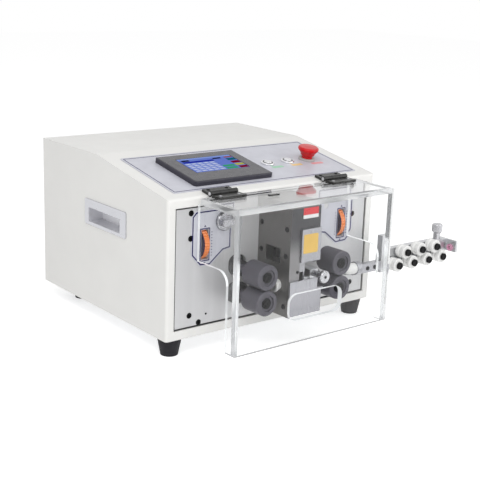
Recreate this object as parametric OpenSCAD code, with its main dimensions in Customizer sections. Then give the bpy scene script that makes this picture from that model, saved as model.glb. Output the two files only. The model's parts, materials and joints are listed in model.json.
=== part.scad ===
// Bench machine that feeds, cuts and strips electric wire.
// Sizes are in millimetres. Inside the modules X runs from the cabinet's left wall,
// Y from its front face towards the back, and Z from the underside of its floor.

/* [Cabinet] */
// Width of the cabinet
cab_w = 370; // [360:1:390]
// Depth of the cabinet
cab_d = 333; // [320:1:380]
// Height of the cabinet at the back
cab_h = 223; // [218:1:240]
// Height of the front face
front_h = 191.5; // [190:0.5:198]
// Level length of the sloping control panel
slope_run = 176; // [170:1:190]
// Thickness of the steel sheet
sheet_t = 2; // [1.5:0.1:2.5]
// Rounding of the folded front edges
edge_r = 4; // [3:0.5:6]
// Width of the frame around the front plate
frame_w = 12.5; // [11:0.5:14]
// Height of a rubber foot
foot_h = 25; // [15:1:30]
// Diameter of a foot where it meets the floor plate
foot_top_d = 34; // [28:1:36]
// Diameter of a foot on the bench
foot_tip_d = 24; // [18:1:27]
// Distance of the front foot centres from the walls
foot_inset = 19; // [18:1:40]
// Distance of the rear foot centres from the side walls
foot_rear_side = 45; // [18:1:60]
// Distance of the rear foot centres from the back
foot_rear_inset = 38; // [22:1:60]

/* [Side grips] */
// Length of the grip's flange
grip_len = 109; // [90:1:120]
// Height of the grip's flange
grip_h = 37; // [34:1:44]
// Distance of the grip from the front face
grip_y = 97.6; // [80:0.1:110]
// Height of the grip's lower edge
grip_z = 119; // [110:1:125]
// How far the flange stands out of the wall
grip_proud = 1.5; // [1:0.1:3]
// Depth of the finger pocket
grip_depth = 24; // [18:1:30]
// Wall of the finger pocket
grip_wall = 2; // [1.5:0.1:2.5]

/* [Front plate] */
// Thickness of the front plate
plate_t = 5; // [4:0.5:6]
// Gap between the front plate and its frame
plate_gap = 1.2; // [0.8:0.1:2]
// Head diameter of the plate screws
screw_head_d = 8; // [7:0.5:10]
// Shank diameter of the plate screws
screw_d = 5; // [4:0.5:6]
// Thickness of a printed label
label_t = 0.5; // [0.3:0.1:0.8]

/* [Feed rollers] */
// Height of the wire above the cabinet's floor
wire_z = 68.5; // [66:0.5:72]
// Distance between the left and the right roller pair
feed_span = 134; // [130:1:140]
// Diameter of a feed roller
roller_d = 35; // [33:0.5:37]
// Length of a feed roller
roller_len = 35; // [30:1:38]
// Reach of the roller ends in front of the cabinet
roller_front = 60; // [58:1:61]
// Gap between the rollers of a pair
nip_gap = 0.6; // [0.4:0.1:1.5]
// Diameter of the roller shafts
shaft_d = 12; // [10:0.5:13]
// Teeth of each gear on the roller shafts
gear_teeth = 24; // [18:2:30]
// Width of the gears
gear_t = 8; // [6:0.5:10]
// Side of a feed motor's square body
motor_w = 56; // [50:1:58]
// Length of a feed motor
motor_len = 60; // [50:1:80]

/* [Roller adjusters] */
// Height of the thumbwheels above the wire
thumb_rise = 56.5; // [55:0.5:60]
// Distance of the thumbwheels from the cabinet's walls
thumb_x = 65.4; // [60:0.1:66]
// Diameter of a thumbwheel
thumb_d = 46; // [42:1:48]
// Width of a thumbwheel's rim
thumb_t = 8; // [6:0.5:9]
// How far a thumbwheel stands out of the front plate
thumb_proud = 7; // [5:0.5:8]
// Length of the slots for the thumbwheels
thumb_slot = 41; // [39:1:44]
// Teeth of the pinion on a thumbwheel's shaft
pinion_teeth = 8; // [8:1:10]
// Diameter of the bar knob
knob_d = 27; // [24:1:30]
// Depth of the bar knob
knob_len = 15; // [12:1:20]

/* [Cutter] */
// Width of the channel in which the blades slide
channel_w = 34; // [32:0.5:36]
// Thickness of the seat's left cheek
cheek_t = 18; // [16:0.5:20]
// Reach of the seat in front of the cabinet
seat_reach = 65; // [63:0.5:67]
// Thickness of the seat's front plates
seat_plate_t = 3; // [2:0.5:4]
// Travel of each blade
blade_travel = 9; // [7:0.5:9]
// Thickness of a blade
blade_t = 2.6; // [2:0.1:3]
// Width of a blade
blade_w = 28; // [24:1:30]
// Diameter of the lead screw
lead_d = 12; // [10:0.5:14]
// Outer diameter of the guide tube
tube_d = 8; // [7.5:0.1:9]
// Bore of the guide tube
tube_bore = 6.2; // [5:0.1:6.5]
// Head diameter of the thumb screw
thumb_screw_d = 17; // [14:0.5:20]

/* [Clear cover] */
// Width of the cover
cover_w = 276; // [270:1:284]
// Reach of the cover in front of the cabinet
cover_reach = 86.5; // [84:0.5:95]
// Thickness of the clear plates
cover_t = 8; // [6:0.5:8]
// How far the cover's top lies below the cabinet's front edge
cover_drop = 1.5; // [1:0.1:3]
// How far the cover hangs below the cabinet's floor
cover_hang = 3; // [0:0.5:10]
// Height of the way for the wire under the side plates
way_h = 105; // [102:1:115]
// Width of the strip in front of the way for the wire
strip_w = 13.5; // [10:0.5:15]
// Rounding in the side plates
way_r = 18; // [12:1:24]
// Width of the hand slot
hand_w = 95; // [80:1:110]
// Height of the hand slot
hand_h = 37; // [34:1:44]
// Height of the hand slot's lower edge
hand_z = 28; // [20:1:30]
// Corner rounding of the hand slot
hand_r = 13; // [8:1:16]
// Width of a hinge
hinge_w = 44; // [38:1:50]
// Distance of the hinges from the cabinet's walls
hinge_x = 63; // [60:1:70]
// Outer diameter of a hinge's knuckles
knuckle_d = 8; // [7:0.5:9]
// Diameter of a hinge pin
pin_d = 4; // [3:0.5:4.5]

/* [Control panel] */
// Width of the printed overlay
overlay_w = 327.5; // [320:0.5:340]
// Length of the overlay up the slope
overlay_len = 135; // [125:1:145]
// Width of the screen's housing
hmi_w = 135; // [125:1:140]
// Height of the screen's housing
hmi_h = 100; // [95:1:110]
// How far the housing stands out of the panel
hmi_proud = 6.5; // [3:0.5:10]
// Width of the glass
glass_w = 94; // [90:1:105]
// Height of the glass
glass_h = 52; // [50:1:56]
// Distance between the buttons along the panel
button_pitch = 38; // [36:0.5:40]
// Diameter of a button's cap
button_d = 12; // [10:0.5:14]
// Outer diameter of a button's bezel
bezel_d = 20; // [18:0.5:22]
// Diameter of the red stop head
stop_d = 31; // [28:0.5:36]

/* [Straightener] */
// Diameter of a wheel
wheel_d = 20; // [18:0.5:21]
// Width of a wheel
wheel_t = 16; // [12:0.5:16]
// Distance between the wheels of a row
wheel_pitch = 32.5; // [30:0.5:36]
// Distance between the two rows
row_gap = 18; // [17:0.5:20]
// Distance of the first lower wheel from the cabinet's wall
wheel_start = 13.5; // [12:0.5:30]
// Diameter of the axles
axle_d = 6; // [5:0.5:7]
// Bore of the eyelet for the wire
eyelet_bore = 5; // [4.5:0.5:6]

/* [Clearances] */
// Radial clearance of a shaft that turns in a bore
run_gap = 0.05; // [0.03:0.01:0.08]
// Clearance on each side of a part that slides
slide_gap = 0.15; // [0.1:0.05:0.25]
// Clearance between parts that must not touch
free_gap = 0.4; // [0.3:0.1:0.6]

/* [Hidden] */
$fn = 48;
over = 1;
slope_a = atan((cab_h - front_h) / slope_run);
mid_x = cab_w / 2;
face_y = sheet_t;
back_y = face_y + plate_t;
wire_y = -(roller_front - roller_len / 2);
pair_x = mid_x - feed_span / 2;
pair_gap = roller_d + nip_gap;
upper_z = wire_z + pair_gap / 2;
lower_z = wire_z - pair_gap / 2;
shaft_r = shaft_d / 2;
bore_r = shaft_r + run_gap;

// Slides and rails of the upper rollers
slide_w = 40;
rail_w = 8;
slide_y = back_y + 2;
slide_depth = 22;
slide_low = 16;
slide_high = 16;
neck_r = 11;
thumb_z = wire_z + thumb_rise;
thumb_y = face_y - thumb_proud + thumb_d / 2;
pinion_m = 1;
pinion_r = pinion_m * pinion_teeth / 2;
pinion_x = pair_x - 14;
pinion_w = 8;
lift_max = PI * pinion_r / 2;
gear_y = slide_y + slide_depth + 5;
gear_m = pair_gap / gear_teeth;
motor_plate_y = gear_y + gear_t + 2;
motor_plate_t = 6;
motor_y = motor_plate_y + motor_plate_t;
rail_top = thumb_z - 9;
rail_low = lower_z + 11;

// Cutter seat and blade slides
seat_x = mid_x - channel_w / 2 - cheek_t;
seat_low = 26;
seat_top = front_h - frame_w - 3;
bridge_z = wire_z + 69.5;
right_cheek_t = 8;
right_cheek_y = -28;
slider_z = wire_z + 17.5;
slider_h = 44;
low_slider_h = 21;
slider_front = seat_reach - 5;
arm_w = 16;
lead_y = back_y + 33;
nut_r = lead_d / 2 + 6;
nut_h = 20;
blade_gap = 0.8;
blade_open = 3;
notch = 6;
upper_blade_len = 40;
lower_blade_len = 36;
lead_top = wire_z + 53.5;
lead_low = wire_z - 38.5;
lead_plate_t = 6;
lead_stub = 10;
motor_room = 2.2;
clamp_x = mid_x + channel_w / 2 + 1;
clamp_w = 15;
clamp_front = -48;
thumb_screw_x = clamp_x + 7;
thumb_screw_z = wire_z + 7.5;
stud_r = 2.5;

// Cover and hinges
cover_top = front_h - cover_drop;
cover_low = -cover_hang;
cover_x = mid_x - cover_w / 2;
cover_in = -cover_reach + cover_t;
pin_y = -4;
pin_z = cover_top + knuckle_d / 2 + free_gap;
leaf_t = 3.5;
leaf_back = 14;
leaf_front = -26;
cover_back = -6;
side_back = -1;

// Control panel
overlay_t = 0.8;
overlay_s = 17.5;
hmi_x = 63;
hmi_s = 29.5;
hmi_rim = 6;
hmi_body_t = 28;
hmi_under = front_h + (hmi_s + hmi_rim) * sin(slope_a) - hmi_body_t * cos(slope_a);
glass_t = 1.5;
button_x = 227;
button_s = 78;
button_travel = 2.5;
stop_x = button_x + 2 * button_pitch;
stop_travel = 4;
stop_stem_r = 8;

// Straightener
wheel_x = cab_w + wheel_start;
low_row_z = wire_z - row_gap / 2;
top_row_z = wire_z + row_gap / 2;
wheel_back = wire_y + wheel_t / 2;
wheel_front = wire_y - wheel_t / 2;
bar_front = wheel_back + 0.8;
bar_t = 9;
bar_back = bar_front + bar_t;
base_back = bar_back + 6;
base_low = low_row_z - 10;
top_bar_low = wire_z + 2;
top_bar_high = top_row_z + 5;
base_x = wheel_x - 21.5;
post_x = wheel_x - 4.5;
post_high = wire_z + 37;
top_bar_x1 = wheel_x + 3 * wheel_pitch + 15;
end_x = wheel_x + 3 * wheel_pitch + 26;
end_t = 4;
eyelet_flange = 2;
axle_r = axle_d / 2;
adjust_x = wheel_x + 3 * wheel_pitch + 7.5;
adjust_rise = 3;
adjust_r = 2;
adjust_knob_d = 15;
bracket_x = mid_x + feed_span / 2 + roller_d / 2 + 24;
bracket_w = 8;
bar_z = [wire_z - 14.5, wire_z - 1];
funnel_r = 8;
wire_hole_r = 4;

// Rear
inlet_x = cab_w - 50;
inlet_z = 64;
inlet_w = 28;
inlet_h = 48;
inlet_proud = 3;
rocker_tilt = 8;
rocker_z = inlet_z + 12;

// The row's origin: the middle of the whole machine, on the bench
x_min = -grip_proud;
x_max = end_x + end_t + eyelet_flange;
y_min = -cover_reach;
y_max = cab_d + inlet_proud;

// Helpers

module place() {
    translate([-(x_min + x_max) / 2, -(y_min + y_max) / 2, foot_h]) children();
}

// The same piece on the right-hand side
module on_right() {
    translate([cab_w, 0, 0]) mirror([1, 0, 0]) children();
}

// A box from its low to its high corner
module block(low, high) {
    translate(low) cube(high - low);
}

// Extrudes a (y, z) outline along X from x0 to x1
module along_x(x0, x1) {
    translate([x0, 0, 0]) rotate([90, 0, 90]) linear_extrude(x1 - x0) children();
}

// Extrudes an (x, z) outline along Y from y0 to y1
module along_y(y0, y1) {
    translate([0, y1, 0]) rotate([90, 0, 0]) linear_extrude(y1 - y0) children();
}

// A round bar along X or along Y
module rod_x(x0, x1, y, z, r) {
    translate([x0, y, z]) rotate([0, 90, 0]) cylinder(h = x1 - x0, r = r);
}
module rod_y(y0, y1, x, z, r) {
    translate([x, y0, z]) rotate([-90, 0, 0]) cylinder(h = y1 - y0, r = r);
}

// Turns an (r, y) outline about an axis along Y through (x, z)
module turned_y(x, z) {
    translate([x, 0, z]) rotate([-90, 0, 0]) rotate_extrude() children();
}
module turned_x(y, z) {
    translate([0, y, z]) rotate([0, 90, 0]) rotate_extrude() children();
}

// A point of the sloping panel, s millimetres up the slope
module on_panel(x, s) {
    translate([x, 0, front_h]) rotate([slope_a, 0, 0]) translate([0, s, 0]) children();
}

module round_rect(low, high, r) {
    translate([low.x + r, low.y]) square([high.x - low.x - 2 * r, high.y - low.y]);
    translate([low.x, low.y + r]) square([high.x - low.x, high.y - low.y - 2 * r]);
    for (x = [low.x + r, high.x - r], y = [low.y + r, high.y - r])
        translate([x, y]) circle(r);
}

// Outline of a gear with straight-sided teeth, one tooth pointing at the angle turn
function gear_outline(n, m, turn) = [
    for (i = [0 : n - 1], k = [0 : 3])
        let (tip = k == 1 || k == 2,
             r = m * n / 2 + (tip ? 0.8 : -1.1) * m,
             half = (tip ? 0.12 : 0.28) * 360 / n,
             a = turn + 360 / n * i + (k < 2 ? -half : half))
        [r * cos(a), r * sin(a)]];

// Cabinet

// Height of the slope's surface, set in by the distance o
function slope_z(y, o) = front_h + y * tan(slope_a) - o / cos(slope_a);

// Side outline of the cabinet, set in by o, with its rounded front edge
function side_outline(o, low, back) =
    let (r = edge_r - o,
         ridge = (cab_h - o - front_h + o / cos(slope_a)) / tan(slope_a),
         c = [o + r, slope_z(o + r, o) - r / cos(slope_a)])
    concat([[o, low]],
           [for (i = [0 : 6]) let (a = 180 - (90 - slope_a) * i / 6) c + r * [cos(a), sin(a)]],
           [[ridge, cab_h - o], [back, cab_h - o], [back, low]]);

module cabinet_form(o, low, back) {
    r = edge_r - o;
    intersection() {
        along_x(o, cab_w - o) polygon(side_outline(o, low, back));
        translate([0, 0, low]) linear_extrude(cab_h - low) {
            translate([o + r, o]) square([cab_w - 2 * o - 2 * r, back - o]);
            translate([o, o + r]) square([cab_w - 2 * o, back - o - r]);
            for (x = [o + r, cab_w - o - r]) translate([x, o + r]) circle(r);
        }
    }
}

module grip_pocket(wall) {
    block([-grip_proud - over, grip_y + 15 - wall, grip_z + 4.6 - wall],
          [grip_depth - grip_wall + wall, grip_y + grip_len - 10.5 + wall, grip_z + grip_h - 12 + wall]);
}

module cabinet_shell() {
    color([0.89, 0.89, 0.87]) difference() {
        cabinet_form(0, 0, cab_d);
        cabinet_form(sheet_t, -over, cab_d + over);
        block([frame_w, -over, frame_w], [cab_w - frame_w, sheet_t + over, front_h - frame_w]);
        grip_pocket(grip_wall);
        on_right() grip_pocket(grip_wall);
        on_panel(hmi_x, hmi_s) block([hmi_rim, hmi_rim, -20], [hmi_w - hmi_rim, hmi_h - hmi_rim, over]);
        panel_holes();
    }
}

module panel_holes() {
    for (i = [0, 1]) on_panel(button_x + i * button_pitch, button_s)
        translate([0, 0, -20]) cylinder(h = 40, d = bezel_d - 4);
    on_panel(stop_x, button_s) translate([0, 0, -20]) cylinder(h = 40, d = stop_d - 9);
}

ear_x = [28, 50];
ear_top = front_h - frame_w - 5;

module base_plate() {
    color([0.75, 0.75, 0.74]) {
        linear_extrude(sheet_t) polygon([
            [sheet_t, edge_r], [edge_r, sheet_t], [cab_w - edge_r, sheet_t], [cab_w - sheet_t, edge_r],
            [cab_w - sheet_t, cab_d], [sheet_t, cab_d]]);
        plate_ear();
        on_right() plate_ear();
    }
}

// Upright ear on which the front plate is screwed
module plate_ear() {
    difference() {
        block([ear_x[0], back_y, 0], [ear_x[1], back_y + 3, ear_top]);
        for (p = screw_places) if (p.x < ear_x[1] - 3)
            rod_y(0, back_y + 10, p.x, p.y, screw_d / 2 + 0.2);
    }
}

module rear_panel() {
    color([0.86, 0.86, 0.84]) difference() {
        block([sheet_t, cab_d - sheet_t, sheet_t], [cab_w - sheet_t, cab_d, cab_h - sheet_t]);
        for (i = [0 : 8], j = [0 : 1]) {
            x = mid_x - 118 + i * 18;
            z = 60 + j * 70;
            along_y(cab_d - sheet_t - over, cab_d + over) round_rect([x, z], [x + 8, z + 50], 3.9);
        }
        block([inlet_x - inlet_w / 2 + 3, cab_d - sheet_t - over, inlet_z - inlet_h / 2 + 3],
              [inlet_x + inlet_w / 2 - 3, cab_d + over, inlet_z + inlet_h / 2 - 3]);
    }
}

module rubber_feet() {
    color([0.18, 0.18, 0.19])
        for (spot = [[foot_inset, foot_inset], [foot_rear_side, cab_d - foot_rear_inset]],
             x = [spot.x, cab_w - spot.x])
            translate([x, spot.y, -foot_h]) cylinder(h = foot_h, d1 = foot_tip_d, d2 = foot_top_d);
}

module side_grip() {
    difference() {
        union() {
            along_x(-grip_proud, 0)
                round_rect([grip_y, grip_z], [grip_y + grip_len, grip_z + grip_h], 3);
            intersection() {
                grip_pocket(grip_wall);
                block([0, 0, 0], [grip_depth, cab_d, cab_h]);
            }
        }
        grip_pocket(0);
    }
}

module side_grips() {
    color([0.82, 0.83, 0.85]) {
        side_grip();
        on_right() side_grip();
    }
}

// Front plate

screw_places = [[38.5, ear_top - 4], [38.5, wire_z + 67.5], [38.5, 30], [54, 18]];
neck_slot_w = 2 * neck_r + 1;
bearing_r = 12;
arm_slot_low = wire_z - 40;
arm_slot_high = wire_z + 64;

module plate_side_holes() {
    for (p = screw_places) {
        rod_y(0, back_y + over, p.x, p.y, screw_d / 2 + 0.2);
        rod_y(face_y - over, face_y + 3, p.x, p.y, screw_head_d / 2 + 0.2);
    }
    block([thumb_x - 6, 0, thumb_z - thumb_slot / 2],
          [thumb_x + 6, back_y + over, thumb_z + thumb_slot / 2]);
    rod_y(0, back_y + over, pair_x, lower_z, bearing_r);
    along_y(0, back_y + over)
        round_rect([pair_x - neck_slot_w / 2, upper_z - neck_slot_w / 2],
                   [pair_x + neck_slot_w / 2, upper_z + neck_slot_w / 2 + lift_max], neck_slot_w / 2 - 0.1);
}

knob_x = thumb_x + 30.6;
knob_z = front_h - 37.5;
label_high = front_h - 19.5;
knob_stem_r = 4;

module front_plate() {
    inset = frame_w + plate_gap;
    color([0.78, 0.78, 0.79]) difference() {
        block([inset, face_y, inset], [cab_w - inset, back_y, front_h - inset]);
        plate_side_holes();
        on_right() plate_side_holes();
        block([mid_x - arm_w / 2 - 2, 0, arm_slot_low],
              [mid_x + arm_w / 2 + 2, back_y + over, arm_slot_high]);
        rod_y(0, back_y + over, knob_x, knob_z, knob_stem_r + run_gap);
    }
}

module plate_screw(p) {
    difference() {
        union() {
            rod_y(face_y, face_y + 3, p.x, p.y, screw_head_d / 2);
            rod_y(face_y + 3, back_y + 3, p.x, p.y, screw_d / 2);
        }
        translate([p.x, face_y - over, p.y]) rotate([-90, 0, 0])
            cylinder(h = 2.2 + over, d = screw_d - 0.4, $fn = 6);
    }
}

module plate_screws() {
    color([0.1, 0.1, 0.1]) {
        for (p = screw_places) plate_screw(p);
        on_right() for (p = screw_places) plate_screw(p);
    }
}

// Outline of the left label: a field round the thumbwheel slot and the knob
function label_outline() = let (x = thumb_x, z = thumb_z) [
    [x - 26.5, z - 13], [x - 12, z - 29], [x + 9, z - 30], [x + 31, z - 12.5],
    [x + 44, z - 10.5], [x + 44, label_high], [x - 19.5, label_high], [x - 26.5, label_high - 7]];

module label_plate() {
    difference() {
        along_y(face_y - label_t, face_y) polygon(label_outline());
        block([thumb_x - 6, 0, thumb_z - thumb_slot / 2], [thumb_x + 6, back_y, thumb_z + thumb_slot / 2]);
        rod_y(0, back_y, knob_x, knob_z, knob_stem_r + free_gap);
        for (p = screw_places) rod_y(0, back_y, p.x, p.y, screw_head_d / 2 + 0.2);
    }
}

module panel_labels() {
    color([0.81, 0.81, 0.86]) {
        label_plate();
        on_right() label_plate();
    }
}

// Control panel

module control_overlay() {
    x0 = mid_x - overlay_w / 2;
    color([0.8, 0.81, 0.85]) difference() {
        on_panel(x0, overlay_s) linear_extrude(overlay_t) round_rect([0, 0], [overlay_w, overlay_len], 3);
        on_panel(hmi_x, hmi_s) block([hmi_rim, hmi_rim, -20], [hmi_w - hmi_rim, hmi_h - hmi_rim, 20]);
        panel_holes();
    }
}

glass_x = 23;
glass_s = 30.5;
hmi_edge = 1.2;

// Outline of a slab of the given width, with its upper edges bevelled
function bevelled(width, high) = [
    [-5, -hmi_body_t], [width + 5, -hmi_body_t], [width + 5, high - hmi_edge - 5],
    [width - hmi_edge, high], [hmi_edge, high], [-5, high - hmi_edge - 5]];

module hmi_housing() {
    top = overlay_t + hmi_proud;
    color([0.3, 0.3, 0.3]) on_panel(hmi_x, hmi_s) difference() {
        union() {
            intersection() {
                translate([0, 0, overlay_t]) linear_extrude(2 * hmi_proud)
                    round_rect([0, 0], [hmi_w, hmi_h], 5);
                along_x(-over, hmi_w + over) polygon(bevelled(hmi_h, top));
                along_y(-over, hmi_h + over) polygon(bevelled(hmi_w, top));
            }
            block([hmi_rim, hmi_rim, -hmi_body_t], [hmi_w - hmi_rim, hmi_h - hmi_rim, overlay_t + over]);
        }
        block([glass_x, glass_s, top - glass_t], [glass_x + glass_w, glass_s + glass_h, top + over]);
    }
}

module hmi_screen() {
    top = overlay_t + hmi_proud;
    color([0.3, 0.45, 0.85]) on_panel(hmi_x, hmi_s)
        block([glass_x, glass_s, top - glass_t], [glass_x + glass_w, glass_s + glass_h, top]);
}

button_body = 24;
bezel_h = 3;

// Bezel with the switch body under the panel and a blind bore for the cap
module button_bezel() {
    cap_r = button_d / 2 + slide_gap;
    rotate_extrude() polygon([
        [0, -button_body], [bezel_d / 2 - 2, -button_body], [bezel_d / 2 - 2, overlay_t],
        [bezel_d / 2, overlay_t], [bezel_d / 2, overlay_t + bezel_h - 1],
        [bezel_d / 2 - 1, overlay_t + bezel_h],
        [cap_r, overlay_t + bezel_h], [cap_r, -12], [0, -12]]);
}

module button_bezels() {
    color([0.75, 0.75, 0.77]) for (i = [0, 1])
        on_panel(button_x + i * button_pitch, button_s) button_bezel();
}

module button_cap(i) {
    top = overlay_t + bezel_h + 1;
    r = button_d / 2;
    on_panel(button_x + i * button_pitch, button_s) rotate_extrude()
        polygon([[0, -12 + button_travel + free_gap], [r, -12 + button_travel + free_gap],
                 [r, top - 0.6], [r - 0.6, top], [0, top]]);
}

module start_button() {
    color([0.78, 0.78, 0.8]) button_cap(0);
}

module stop_button() {
    color([0.78, 0.78, 0.8]) button_cap(1);
}

collar_h = 3;
stop_body = 30;
stop_bore = 8;
stop_head_h = 13.5;
scoops = 12;

module stop_collar() {
    bore = stop_stem_r + slide_gap;
    neck = stop_d / 2 - 4.5;
    rim = neck + 1.5;
    color([0.7, 0.7, 0.72]) on_panel(stop_x, button_s) rotate_extrude() polygon([
        [0, -stop_body], [neck, -stop_body], [neck, overlay_t], [rim, overlay_t],
        [rim, overlay_t + collar_h - 1], [rim - 1, overlay_t + collar_h],
        [bore, overlay_t + collar_h], [bore, -stop_bore], [0, -stop_bore]]);
}

// Flared head with finger scoops round its waist
module stop_head() {
    foot = stop_travel + free_gap - stop_bore;
    low = overlay_t + collar_h + stop_travel + free_gap;
    r = stop_d / 2;
    waist = r - 5;
    high = low + stop_head_h;
    dome = [for (i = [0 : 6]) let (a = 90 * i / 6) [r - 3 + 3 * cos(a), high - 3 + 2.4 * sin(a)]];
    color([0.78, 0.1, 0.12]) on_panel(stop_x, button_s) difference() {
        rotate_extrude() polygon(concat(
            [[0, foot], [stop_stem_r, foot], [stop_stem_r, low], [waist - 0.5, low], [waist, low + 0.5],
             [waist + 0.6, low + 3], [r, high - 5]], dome, [[0, high]]));
        for (i = [0 : scoops - 1]) rotate([0, 0, 360 / scoops * i])
            translate([r + 1.2, 0, low - over]) cylinder(h = high - 5.5 - low + over, r = 2.8, $fn = 20);
    }
}

// Hinges

third = hinge_w / 3;

module hinge_pair() {
    translate([hinge_x, 0, 0]) children();
    on_right() translate([hinge_x, 0, 0]) children();
}

module knuckle(x0, x1) {
    difference() {
        rod_x(x0, x1, pin_y, pin_z, knuckle_d / 2);
        rod_x(x0 - over, x1 + over, pin_y, pin_z, pin_d / 2 + run_gap);
    }
}

module fixed_leaf() {
    for (x = [0, 2 * third]) {
        knuckle(x, x + third);
        difference() {
            on_panel(x, pin_y) block([0, 0, 0.3], [third, 8, leaf_t]);
            rod_x(x - over, x + third + over, pin_y, pin_z, knuckle_d / 2 - 1);
        }
    }
    on_panel(0, 3.5) block([0, 0, 0], [hinge_w, leaf_back - 3.5, leaf_t]);
}

module hinge_fixed_leaves() {
    color([0.16, 0.16, 0.15]) hinge_pair() fixed_leaf();
}

module moving_leaf() {
    gap = free_gap;
    rod_x(third + gap, 2 * third - gap, pin_y, pin_z, knuckle_d / 2);
    block([third + gap, leaf_front + 4, cover_top], [2 * third - gap, pin_y, cover_top + leaf_t]);
    block([0, leaf_front, cover_top], [hinge_w, pin_y - knuckle_d / 2 - 1, cover_top + leaf_t]);
}

module hinge_moving_leaves() {
    color([0.16, 0.16, 0.15]) hinge_pair() {
        moving_leaf();
        rod_x(0, hinge_w, pin_y, pin_z, pin_d / 2);
    }
}

// Clear cover

module cover_front_plate() {
    color([0.85, 0.9, 0.92, 0.4]) difference() {
        block([cover_x, -cover_reach, cover_low], [cover_x + cover_w, cover_in, cover_top]);
        along_y(-cover_reach - over, cover_in + over)
            round_rect([mid_x - hand_w / 2, hand_z], [mid_x + hand_w / 2, hand_z + hand_h], hand_r);
    }
}

module cover_top_plate() {
    color([0.85, 0.9, 0.92, 0.4])
        block([cover_x, cover_in, cover_top - cover_t], [cover_x + cover_w, cover_back, cover_top]);
}

module cover_side() {
    low = cover_low;
    strip = cover_in + strip_w;
    c = [strip + way_r, way_h - way_r];
    arc = [for (i = [0 : 8]) let (a = 180 - 90 * i / 8) c + way_r * [cos(a), sin(a)]];
    along_x(cover_x, cover_x + cover_t) polygon(concat(
        [[cover_in, low], [strip, low]], arc,
        [[side_back, way_h], [side_back, cover_top - cover_t], [cover_in, cover_top - cover_t]]));
}

module cover_side_plates() {
    color([0.85, 0.9, 0.92, 0.4]) {
        cover_side();
        on_right() cover_side();
    }
}

// Feed rollers and their drive

module roller_sleeve(z) {
    r = roller_d / 2;
    y0 = -roller_front;
    y1 = y0 + roller_len;
    turned_y(pair_x, z) polygon([
        [0, y0 + 2], [r - 6, y0 + 2], [r - 6, y0], [r - 1, y0], [r, y0 + 1],
        [r, y1 - 1], [r - 1, y1], [0, y1]]);
}

module pinion_shaft(z, y1, turn) {
    rod_y(-roller_front + 1, y1, pair_x, z, shaft_r);
    translate([pair_x, gear_y + gear_t, z]) rotate([90, 0, 0]) linear_extrude(gear_t)
        polygon(gear_outline(gear_teeth, gear_m, turn));
    rod_y(-roller_front + roller_len - 1, -roller_front + roller_len + 3, pair_x, z, shaft_r + 2);
}

module lower_roller() {
    roller_sleeve(lower_z);
    pinion_shaft(lower_z, motor_y + 20, 90);
}

module upper_roller() {
    roller_sleeve(upper_z);
    pinion_shaft(upper_z, gear_y + gear_t + 1, 90 + 180 / gear_teeth);
}

roller_paint = [0.36, 0.35, 0.38];

module left_lower_roller() {
    color(roller_paint) lower_roller();
}

module right_lower_roller() {
    color(roller_paint) on_right() lower_roller();
}

module left_upper_roller() {
    color(roller_paint) upper_roller();
}

module right_upper_roller() {
    color(roller_paint) on_right() upper_roller();
}

module shaft_bearing() {
    turned_y(pair_x, lower_z) polygon([
        [bore_r, face_y - 8], [bore_r + 5, face_y - 8], [bearing_r + 3, face_y - 4],
        [bearing_r + 3, face_y],
        [bearing_r, face_y], [bearing_r, back_y], [bore_r, back_y]]);
}

module shaft_bearings() {
    color([0.12, 0.12, 0.12]) {
        shaft_bearing();
        on_right() shaft_bearing();
    }
}

tongue = 3;

// Slide that carries an upper roller, with its neck through the front plate and its rack
module roller_slide() {
    x0 = pair_x - slide_w / 2;
    x1 = pair_x + slide_w / 2;
    low = upper_z - slide_low;
    high = upper_z + slide_high;
    mid_y = slide_y + slide_depth / 2;
    difference() {
        union() {
            block([x0, slide_y, low], [x1, slide_y + slide_depth, high]);
            block([x0 - tongue, mid_y - 3, low], [x1 + tongue, mid_y + 3, high]);
            rod_y(face_y - 6, slide_y + over, pair_x, upper_z, neck_r);
            block([pinion_x, thumb_y + pinion_r + 1.1, high - over],
                  [pinion_x + pinion_w, slide_y + slide_depth, thumb_z + 9]);
        }
        rod_y(face_y - 10, slide_y + slide_depth + over, pair_x, upper_z, bore_r);
    }
    rack_teeth();
}

// Teeth of the rack, with a gap opposite the pinion's tooth
module rack_teeth() {
    pitch = PI * pinion_m;
    line = thumb_y + pinion_r;
    along_x(pinion_x, pinion_x + pinion_w) for (i = [-3 : 2]) translate([line, thumb_z + (i + 0.5) * pitch])
        polygon([[1.1, -0.28 * pitch], [-0.8, -0.12 * pitch], [-0.8, 0.12 * pitch], [1.1, 0.28 * pitch],
                 [2, 0.28 * pitch], [2, -0.28 * pitch]]);
}

module left_roller_slide() {
    color([0.2, 0.2, 0.21]) roller_slide();
}

module right_roller_slide() {
    color([0.2, 0.2, 0.21]) on_right() roller_slide();
}

thumb_shaft_r = 3;
knurls = 36;

module thumbwheel() {
    r = thumb_d / 2;
    rim = [for (i = [0 : 2 * knurls - 1])
        let (a = 180 / knurls * i, q = r - (i % 2) * 0.8) [q * cos(a), q * sin(a)]];
    along_x(thumb_x - thumb_t / 2, thumb_x + thumb_t / 2) translate([thumb_y, thumb_z]) polygon(rim);
    rod_x(thumb_x - 12, pinion_x + pinion_w, thumb_y, thumb_z, thumb_shaft_r);
    along_x(pinion_x, pinion_x + pinion_w) translate([thumb_y, thumb_z])
        polygon(gear_outline(pinion_teeth, pinion_m, 0));
}

module left_thumbwheel() {
    color([0.94, 0.5, 0.18]) thumbwheel();
}

module right_thumbwheel() {
    color([0.94, 0.5, 0.18]) on_right() thumbwheel();
}

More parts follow.
